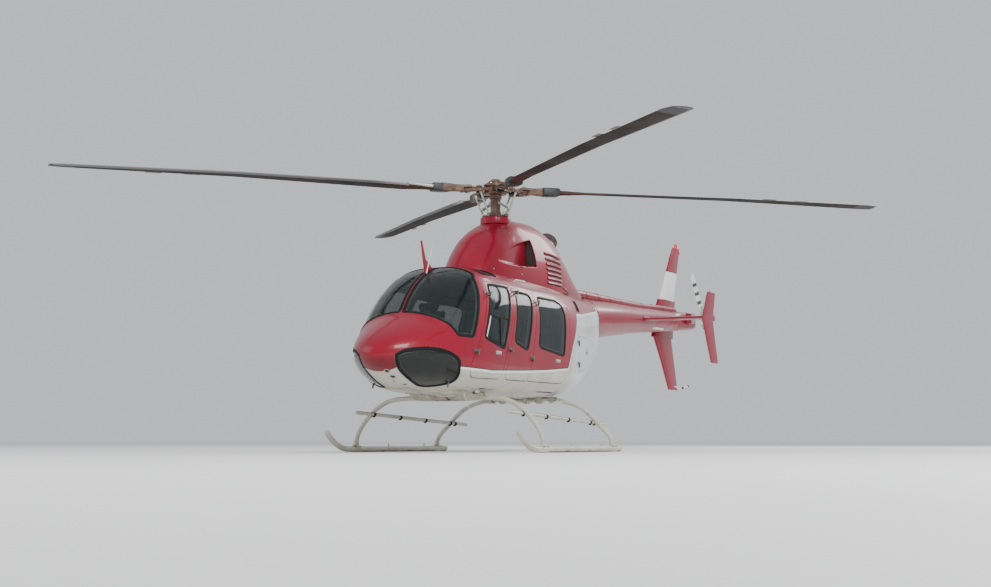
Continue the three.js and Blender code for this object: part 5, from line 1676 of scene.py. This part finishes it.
arm += [loftRows(gripRows), softBlock((60, 60, 2868), (142, 128, 2900), 9),
        barPart((425, 46, hubZ - 30), (262, 175, hubZ - 30), 26, 20, 20, 5),
        barPart((262, 175, hubZ - 46), (262, 175, hubZ - 14), 26, 20),
        softBlock((398, -58, hubZ - 50), (452, 70, hubZ - 12), 12)]
makePiece("rotorHead", headParts + onArms(arm), "hub", "main_rotor", node="rotor_hub")
rods = onArms(controlRod((125, 112, 2880), (262, 175, hubZ - 30), 13, (175, -262, 0)))
scissors = [barPart((60, -24, 3040), (178, -24, 2968), 11, 12),
            barPart((60, 24, 3040), (178, 24, 2968), 11, 12),
            barPart((178, -34, 2968), (178, 34, 2968), 12, 16),
            barPart((178, 0, 2968), (128, 0, 2880), 12, 12),
            softBlock((40, -34, 3020), (78, 34, 3062), 8)]
for turn in (45, 225):
    rods += turnParts(scissors, rotorAngle + turn)
makePiece("rotorRods", rods, "steel", "main_rotor")
pins = [barPart((r, y, hubZ - 61), (r, y, hubZ + 61), 15, 16)
        for r, y in ((640, 0), (676, 0), (380, 0))]
armScrews = [(92, 56, 21), (92, -56, 21), (175, 52, 21), (175, -52, 21), (250, 0, 21), (290, 46, 21),
             (290, -46, 21), (545, 0, 42), (470, 0, 39)]
pins += [movePart(screw(9, 11, 6), (r, y, hubZ + top)) for r, y, top in armScrews]
pins += [turnPart(part, 180, (1, 0, 0), (0, 0, hubZ)) for part in pins[3:]]
capBolts = [turnPart(movePart(screw(9, 12, 6), (124, 0, hubZ + 70)), 30 * k) for k in range(12)]
capBolts += [turnPart(movePart(screw(6, 8, 6), (136, 0, 2884)), 15 * k) for k in range(24)]
capBolts += [barPart((0, 0, hubTop - 6), (0, 0, hubTop - 0.5), 38, 6)]
makePiece("rotorBolts", onArms(pins) + capBolts, "steel", "main_rotor")
dampers = [barPart((330, sign * 70, hubZ), (430, sign * 70, hubZ), 9, 12) for sign in (1, -1)]
bumper = [(1, 0), (38, 0), (40, 3), (40, 9), (34, 12), (40, 15), (40, 21), (34, 24), (1, 24)]
dampers += [turnedProfile(bumper, (212, 0, hubZ + top), sides=28) for top in (20, -44)]
makePiece("rotorDampers", onArms(dampers), "rubber", "main_rotor")
cuff = loftRows([(604, 66, 49), (616, 72, 52), (700, 84, 52), (806, 88, 50), (816, 84, 44)], 24)
makePiece("bladeCuffs", onArms([movePart(cuff, (0, -28, 0))]), "cuff", "main_rotor")
mastParts = [turnedProfile([(62, 2640), (92, 2640), (92, 2700), (98, 2780), (140, 2782), (140, 2828),
                            (62, 2830)]),
             turnedProfile([(62, 2080), (230, 2080), (230, 2120), (180, 2300), (110, 2560), (95, 2640),
                            (62, 2645)])]
makePiece("mastHousing", mastParts, "darkSteel", node="mast_base")
boost = controlRod((124, 0, 2520), (124, 0, 2800), 12, (0, 1, 0))
boost.append(softBlock((92, -26, 2784), (138, 26, 2822), 8))
boosts = [part for turn in (100, 200, 320) for part in turnParts(boost, turn)]
boosts += turnParts([barPart((94, 0, 2668), (168, 0, 2716), 12, 12),
                     barPart((168, -26, 2716), (168, 26, 2716), 12, 16),
                     barPart((168, 0, 2716), (128, 0, 2800), 12, 12)], 40)
boosts += [turnPart(movePart(screw(7, 9, 6), (178, 0, 2292)), 22.5 * k) for k in range(16)]
makePiece("swashplateRods", boosts, "steel")

tailHub, tailAngle = np.array([-6540.0, 400, 2040]), 52
tailRows = np.array([(150, 90, 34), (260, 160, 22), (785, 160, 16), (825, 130, 10)], float)


# A tail rotor blade, drawn out along x and turned about the tail rotor's axis.
def tailBlade(end):
    radius = np.linspace(150, 825, 40)
    chord, thick = (np.interp(radius, tailRows[:, 0], tailRows[:, i])[:, None] for i in (1, 2))
    section = foilLoop()
    along, out = 0.4 * chord - chord * section[None, :, 0], thick * section[None, :, 1]
    grid = np.stack([np.repeat(radius[:, None], len(section), 1), out, along], -1)
    return movePart(turnPart(loftPart(grid), end * 180 - tailAngle, (0, 1, 0)), tailHub)


for end in range(2):
    makePiece(f"tailRotorBlade{end + 1}", [tailBlade(end)], "stripes", "tail_rotor",
              node=f"tail_blade_{end + 1}")
# Tail rotor head, drawn with its blades along x and its shaft along y, then turned and set on the hub.
tailHead = [softBlock((-170, -18, -30), (170, 18, 30), 8), barPart((0, -69.7, 0), (0, 60, 0), 33, 32),
            barPart((0, -25, 0), (0, 25, 0), 60, 40, bevel=5), softBlock((-52, 24, -16), (52, 50, 16), 6)]
for sign in (1, -1):
    tailHead += [softBlock((sign * 190 - 48, -22, -40), (sign * 190 + 48, 22, 40), 9),
                 softBlock((sign * 128 - 22, -12, 26 * sign - 20), (sign * 128 + 22, 24, 62 * sign), 6)]
    tailHead += controlRod((sign * 46, 44, 6 * sign), (sign * 128, 16, 46 * sign), 7, (0, 0, 1))
    tailHead += [barPart((sign * r, -27, z), (sign * r, 27, z), 9, 8) for r in (168, 208) for z in (-16, 16)]
makePiece("tailRotorHead", [movePart(turnPart(part, -tailAngle, (0, 1, 0)), tailHub) for part in tailHead],
          "steel", "tail_rotor", node="tail_rotor_hub")
gearFoot = np.array([tailHub[0], 0, tailHub[2]])


def gearTurned(profile, sides):
    return turnedProfile(profile, gearFoot, (0, 1, 0), sides)


case = gearTurned([(1, 60), (95, 60), (95, 122), (90, 150), (74, 222), (1, 222)], 56)
makePiece("tailGearCase", [case], "red", node="tail_gearbox")
shaft = gearTurned([(66, 218), (82, 220), (82, 229), (56, 233), (36, 240), (26, 262), (20, 268), (19, 330),
                    (1, 330)], 48)
bolt = seated(screw(5.5, 7, 6), gearFoot + (0, 231, 76), (0, 1, 0), (0, 0, 1))
makePiece("tailGearFlange", [shaft] + [turnPart(bolt, 30 * k, (0, 1, 0), gearFoot) for k in range(12)],
          "steel")
print("rotors made")

cutter = [(1560, 1990), (1800, 1990), (1830, 2110), (1900, 2380), (1880, 2385), (1790, 2180), (1600, 2070)]
makePiece("wireCutterBlade", [platePart(cutter, -8, 8, 3, sideLay)], "red", node="wire_cutter")


# An outline of the side view made a block between two places across.
def profileBlock(outline, y0, y1, reach=40, bevel=18):
    shape = roundedOutline(outline, reach, 30)
    return platePart(shape, y0, y1, bevel, sideLay)


hood = [(2010, 1120), (2150, 1040), (2290, 1060), (2330, 1400), (2240, 1440), (1990, 1410)]
pedestal = [(1720, 712), (2180, 712), (2180, 1130), (2020, 1130), (1760, 960)]
makePiece("instrumentHood", [profileBlock(hood, -310, 310), profileBlock(pedestal, -108, 108, 20, 8)],
          "panel", node="instrument_panel")
glare = [(1945, 1418), (2235, 1462), (2340, 1418), (2340, 1404), (2235, 1446), (1948, 1404)]
makePiece("glareShield", [profileBlock(glare, -326, 326, 12, 5)], "rubber")
cockpit = {  # gauges in rows of height, places and radius; screens as place and half size; seats' middles
    "gaugeRows": ((1345, (-250, -170, -90, 90, 170, 250), 34), (1235, (-250, -170, 170, 250), 34),
                  (1160, (-220, -130, 130, 220), 24)),
    "screens": ((0, 1330, 58, 46), (-62, 1210, 52, 44), (62, 1210, 52, 44)), "radios": 6,
    "seats": (370, -370),
}
rings, faces, needles = [], [], []


# The instruments lie on the panel's slanted face, the radios on the pedestal's.
def onPanel(part, y, z):
    return seated(part, (2011 - (z - 1120) * 20 / 290, y, z), (-1, 0, -0.069), (-0.069, 0, 1))


for z, places, radius in cockpit["gaugeRows"]:
    bezel = turnedProfile([(radius + 3, -2), (radius + 5, 4), (radius + 3, 7), (radius, 7), (radius - 1, 2),
                           (radius - 1, -2)], sides=32)
    face = turnedProfile([(1, -1), (radius, -1), (radius, 2.5), (1, 2.5)], sides=32)
    needle = softBlock((-2, -1.6, 2), (radius * 0.8, 1.6, 4), 1)
    for y in places:
        rings.append(onPanel(bezel, y, z))
        faces.append(seated(face, (2011 - (z - 1120) * 20 / 290, y, z), (-1, 0, -0.069)))
        needles.append(onPanel(turnPart(needle, (y * 1.7 + z) % 360), y, z))
for y, z, width, height in cockpit["screens"]:
    rings.append(onPanel(softBlock((-height, -width, -2), (height, width, 6), 5), y, z))
    faces.append(onPanel(softBlock((-height + 9, -width + 9, 4), (height - 9, width - 9, 7.5), 3), y, z))
slope = np.array((246, 0, 161))
knobs = [movePart(barPart((0, 0, 5), (0, 0, 18), 6, 12, 5, 1), (0, y, 0)) for y in (-58, 58)]
for k in range(cockpit["radios"]):
    spot = np.array((1772, 0, 976)) + slope * (k + 0.5) / cockpit["radios"]
    rings.append(seated(softBlock((-22, -74, -2), (22, 74, 7), 3), spot, (-161, 0, 246), slope))
    faces.append(seated(softBlock((-8, -40, 6), (10, 40, 8.5), 2), spot, (-161, 0, 246), slope))
    needles += [seated(knob, spot, (-161, 0, 246), slope) for knob in knobs]
makePiece("panelBezels", rings, "darkSteel", slot="panel_black")
# These faces glow faintly: painted light.
makePiece("panelFaces", faces, "glowingInstrumentFace")
makePiece("panelNeedles", needles, "trim")

levers, grips = [], []
for y in cockpit["seats"]:
    stick = smoothLine([(1660, y, 715), (1655, y, 840), (1600, y, 990), (1590, y, 1070)], 24)
    levers += [sweepPart(stick, circle(12, 11)),
               turnedProfile([(46, 712), (44, 730), (26, 770), (14, 800)], (1660, y, 0))]
    grip = smoothLine([(1591, y, 1060), (1596, y, 1110), (1578, y, 1165)], 12)
    grips.append(sweepPart(grip, circle(16, 17), (0, 1, 0),
                           [0.8, 1, 1.1, 1, 1.05, 1, 1.1, 1.15, 1.25, 1.3, 1.2, 0.8]))
    lever = y + (252 if y > 0 else 231.84)
    levers.append(barPart((1190, lever, 770), (1475, lever, 935), 12, 14))
    grips.append(barPart((1475, lever, 935), (1590, lever, 1000), 19, 16, 18, 4))
    for foot in (y - 105, y + 105):
        levers += [barPart((2140, foot, 714), (2110, foot, 800), 10, 10),
                   barPart((2110, foot - 30, 800), (2110, foot + 30, 800), 8, 10)]
        grips.append(seated(softBlock((-50, -44, -5), (50, 44, 6), 5), (2100, foot, 826), (-1, 0, 0.35),
                            (0, 0, 1)))
makePiece("flightLevers", levers, "darkSteel")
makePiece("flightGrips", grips, "rubber")

# Cabin floor, and the wall behind the bench: outlines of the skin's inside.
floorX = np.linspace(-780, 2250, 60)
floorY = skinY(floorX, np.full(60, 704.0)) - 62
deck = np.vstack([np.stack([floorX, floorY], -1), np.stack([floorX, -floorY], -1)[::-1]])
makePiece("cabinFloor", [platePart(deck, 698, 711.5, 2, lambda points: points)], "carpet")
wallZ = np.linspace(712, 2030, 40)
wallY = np.maximum(skinY(np.full(40, -800.0), wallZ) - 52, 20)
sheet = np.vstack([np.stack([wallY, wallZ], -1), np.stack([-wallY, wallZ], -1)[::-1]])
makePiece("rearWall", [platePart(sheet, -800, -786, 2, lambda points: points[:, [2, 0, 1]])], "trim")


# A cushion by cloth simulation: a block a little too small is remeshed fine, blown up by pressure with no
# weight on it, and each point's way is kept under a cap; then channels are pressed across the top.
def cushionPart(size, voxel, cap, channels):
    half = np.array(size, float) / 2
    block = softBlock(-half + cap * 0.4, half - cap * 0.4, 30, 6)
    mesh = bpy.data.meshes.new("cushionForm")
    mesh.from_pydata((block[0] / 1000).tolist(), [], [f for group in block[1] for f in group.tolist()])
    form = bpy.data.objects.new("cushionForm", mesh)
    bpy.context.scene.collection.objects.link(form)
    remesh = form.modifiers.new("remesh", "REMESH")
    remesh.mode, remesh.voxel_size = "VOXEL", voxel / 1000
    fine = bpy.data.meshes.new_from_object(form.evaluated_get(bpy.context.evaluated_depsgraph_get()))
    form.modifiers.clear()
    form.data = fine
    cloth = form.modifiers.new("cloth", "CLOTH")
    cloth.settings.use_pressure = True
    cloth.settings.uniform_pressure_force = 4
    cloth.settings.effector_weights.gravity = 0
    count = len(fine.vertices)
    start, end = np.zeros(count * 3), np.zeros(count * 3)
    fine.vertices.foreach_get("co", start)
    for moment in range(1, 21):
        bpy.context.scene.frame_set(moment)
    form.evaluated_get(bpy.context.evaluated_depsgraph_get()).data.vertices.foreach_get("co", end)
    bpy.context.scene.frame_set(1)
    corners = np.zeros(len(fine.polygons) * 4, int)
    fine.polygons.foreach_get("vertices", corners)
    bpy.data.objects.remove(form)
    start, way = start.reshape(-1, 3) * 1000, (end - start).reshape(-1, 3) * 1000
    length = np.linalg.norm(way, axis=1, keepdims=True)
    points = start + way * np.minimum(1, cap / np.maximum(length, 1e-6))
    points *= (half - 1) / np.abs(points).max(0)
    for place in channels:
        press = 8 * np.exp(-((points[:, 0] - place) / 8) ** 2)
        points[:, 2] -= press * np.sign(points[:, 2]) * (np.abs(points[:, 2]) > half[2] * 0.4)
    return points, [corners.reshape(-1, 4)]


# The seam round a cushion at a height: a cord swept along where rays in that plane meet its cover.
def cordPart(part, height):
    tree = BVHTree.FromPolygons(part[0].tolist(), [f for group in part[1] for f in group.tolist()])
    a = np.arange(120) * 2 * np.pi / 120
    reach = np.abs(part[0]).max(0)
    way = np.stack([np.cos(a) * reach[0], np.sin(a) * reach[1], 0 * a], -1)
    ring = [tree.ray_cast((*(w * 1.5)[:2], height), (*-w[:2], 0))[0] or (*(w * 0.9)[:2], height)
            for w in way]
    return sweepPart(np.array([tuple(p) for p in ring]), circle(8, 3.5), ring=True)


cushions = {  # size in mm, voxel, cap, channels across
    "crewPan": ((412, 430, 112), 8.5, 24, (-110, -35, 40)),
    "crewBack": ((600, 420, 84), 9, 16, (-190, -95, 0, 95, 190)), "crewHead": ((92, 250, 66), 7, 12, ()),
    "benchPan": ((335, 388, 108), 12, 24, (-60, 30)),
    "benchBack": ((600, 388, 84), 12.5, 16, (-180, -60, 60, 180)),
}
pads = {name: cushionPart(*row) for name, row in cushions.items()}
cords = {name: joinParts([cordPart(part, sign * cushions[name][0][2] * 0.30) for sign in (1, -1)])
         for name, part in pads.items()}
print("cushions blown up:", {name: len(part[0]) for name, part in pads.items()}, "points")
crewUp, benchUp = np.array((-115, 0, 600.0)), np.array((-150, 0, 590.0))


def cushionPiece(name, rows, node):
    padParts, cordParts = ([seated(store[kind], place, out, run) for kind, place, out, run in rows]
                           for store in (pads, cords))
    made = makePiece(name + "Pads", padParts, "seat", node=node, crease=60)
    smooth = made.modifiers.new("smooth", "SUBSURF")
    smooth.levels = smooth.render_levels = 1
    makePiece(name + "Cords", cordParts, "webbing", crease=60)


frames, straps, buckles = [], [], []
for side, y in zip(("Left", "Right"), cockpit["seats"]):
    out = (600, 0, 115)
    rows = [("crewPan", (1358, y, 986), (0, 0, 1), (1, 0, 0)), ("crewBack", (1108, y, 1342), out, crewUp),
            ("crewHead", (1034, y, 1704), out, crewUp)]
    cushionPiece("crewSeat" + side, rows, f"crew_seat_{side.lower()}")
    frames += [softBlock((1165, y - 180, 712), (1530, y + 180, 900), 22),
               softBlock((1145, y - 222, 878), (1566, y + 222, 948), 20),
               seated(softBlock((-330, -205, -64), (322, 205, -34), 14), (1108, y, 1342), out, crewUp)]
    frames += [barPart((1160, y + dy, 720), (1540, y + dy, 720), 9, 10) for dy in (-190, 190)]
    for s in (1, -1):
        face = [(1060, y + s * 50, 1665), (1105, y + s * 62, 1640), (1150, y + s * 72, 1500),
                (1190, y + s * 70, 1280), (1205, y + s * 60, 1130), (1230, y + s * 40, 1062)]
        straps.append(sweepPart(smoothLine(face, 40), railSection(46, 4), (1, 0, 0.3)))
        lap = [(1185, y + s * 218, 960), (1200, y + s * 205, 1010), (1260, y + s * 120, 1052),
               (1290, y + s * 30, 1056)]
        straps.append(sweepPart(smoothLine(lap, 30), railSection(46, 4), (0.2, s * 0.5, 1)))
        buckles.append(softBlock((1150, y + s * 214 - 8, 900), (1200, y + s * 214 + 8, 965), 5))
    buckles.append(softBlock((1258, y - 34, 1052), (1322, y + 34, 1072), 9))
seatRows = [0, 396, -396]
out = (590, 0, 150)
cushionPiece("rearBench", [("benchPan", (-82, y, 996), (0, 0, 1), (1, 0, 0)) for y in seatRows]
             + [("benchBack", (-310, y, 1336), out, benchUp) for y in seatRows], "rear_bench")
frames += [softBlock((-395, -590, 712), (70, 590, 930), 18),
           seated(softBlock((-310, -590, -66), (300, 590, -36), 12), (-310, 0, 1336), out, benchUp)]
for y in seatRows:
    for s in (1, -1):
        lap = [(-245, y + s * 120, 1040), (-200, y + s * 112, 1052), (-120, y + s * 70, 1056),
               (-70, y + s * 20, 1058)]
        straps.append(sweepPart(smoothLine(lap, 20), railSection(46, 4), (0, 0, 1)))
    buckles.append(softBlock((-95, y - 26, 1050), (-45, y + 26, 1066), 6))
makePiece("seatFrames", frames, "panel")
makePiece("harnessStraps", straps, "webbing", crease=60)
makePiece("harnessBuckles", buckles, "steel")
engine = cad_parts["engine_block"]
for slot in engine.material_slots:
    slot.material = finishes["steel"]
print("cabin made")

# Floor, light and camera.
floorMesh = bpy.data.meshes.new("studioFloor")
reach = 90.0
floorMesh.from_pydata([(-reach, -reach, 0), (reach, -reach, 0), (reach, reach, 0), (-reach, reach, 0)], [],
                      [(0, 1, 2, 3)])
floor = bpy.data.objects.new("studioFloor", floorMesh)
bpy.context.scene.collection.objects.link(floor)
floorFinish = Finish("studioFloor")
floorMesh.materials.append(floorFinish.done(colour=(0.86, 0.86, 0.85), roughness=0.6))

world = bpy.data.worlds.new("studio")
bpy.context.scene.world = world
world.use_nodes = True
world.node_tree.nodes["Background"].inputs[0].default_value = (0.86, 0.89, 0.93, 1)
world.node_tree.nodes["Background"].inputs[1].default_value = 0.78

studioLights = {  # place in metres, width of the lamp, power in watts
    "keyLight": ((14, 12, 13), 8, 3600), "fillLight": ((12, -16, 8), 12, 600),
    "rimLight": ((-16, 6, 12), 9, 2000),
}
for name, (place, size, power) in studioLights.items():
    lamp = bpy.data.lights.new(name, "AREA")
    lamp.size, lamp.energy = size, power
    made = bpy.data.objects.new(name, lamp)
    made.location = place
    made.rotation_euler = (Vector((1.0, 0, 1.6)) - Vector(place)).to_track_quat("-Z", "Y").to_euler()
    bpy.context.scene.collection.objects.link(made)

view = {"azimuth": 26.3, "distance": 20.4, "height": 0.14, "lens": 60.7, "aim": (mastX / 1000, 0, 1.93)}
camera = bpy.data.objects.new("camera", bpy.data.cameras.new("camera"))
camera.data.lens, camera.data.sensor_width = view["lens"], 36
angle = math.radians(view["azimuth"])
camera.location = (mastX / 1000 + view["distance"] * math.cos(angle), view["distance"] * math.sin(angle),
                   view["height"])
camera.rotation_euler = (Vector(view["aim"]) - camera.location).to_track_quat("-Z", "Y").to_euler()
bpy.context.scene.collection.objects.link(camera)
bpy.context.scene.camera = camera

print("scene ready")
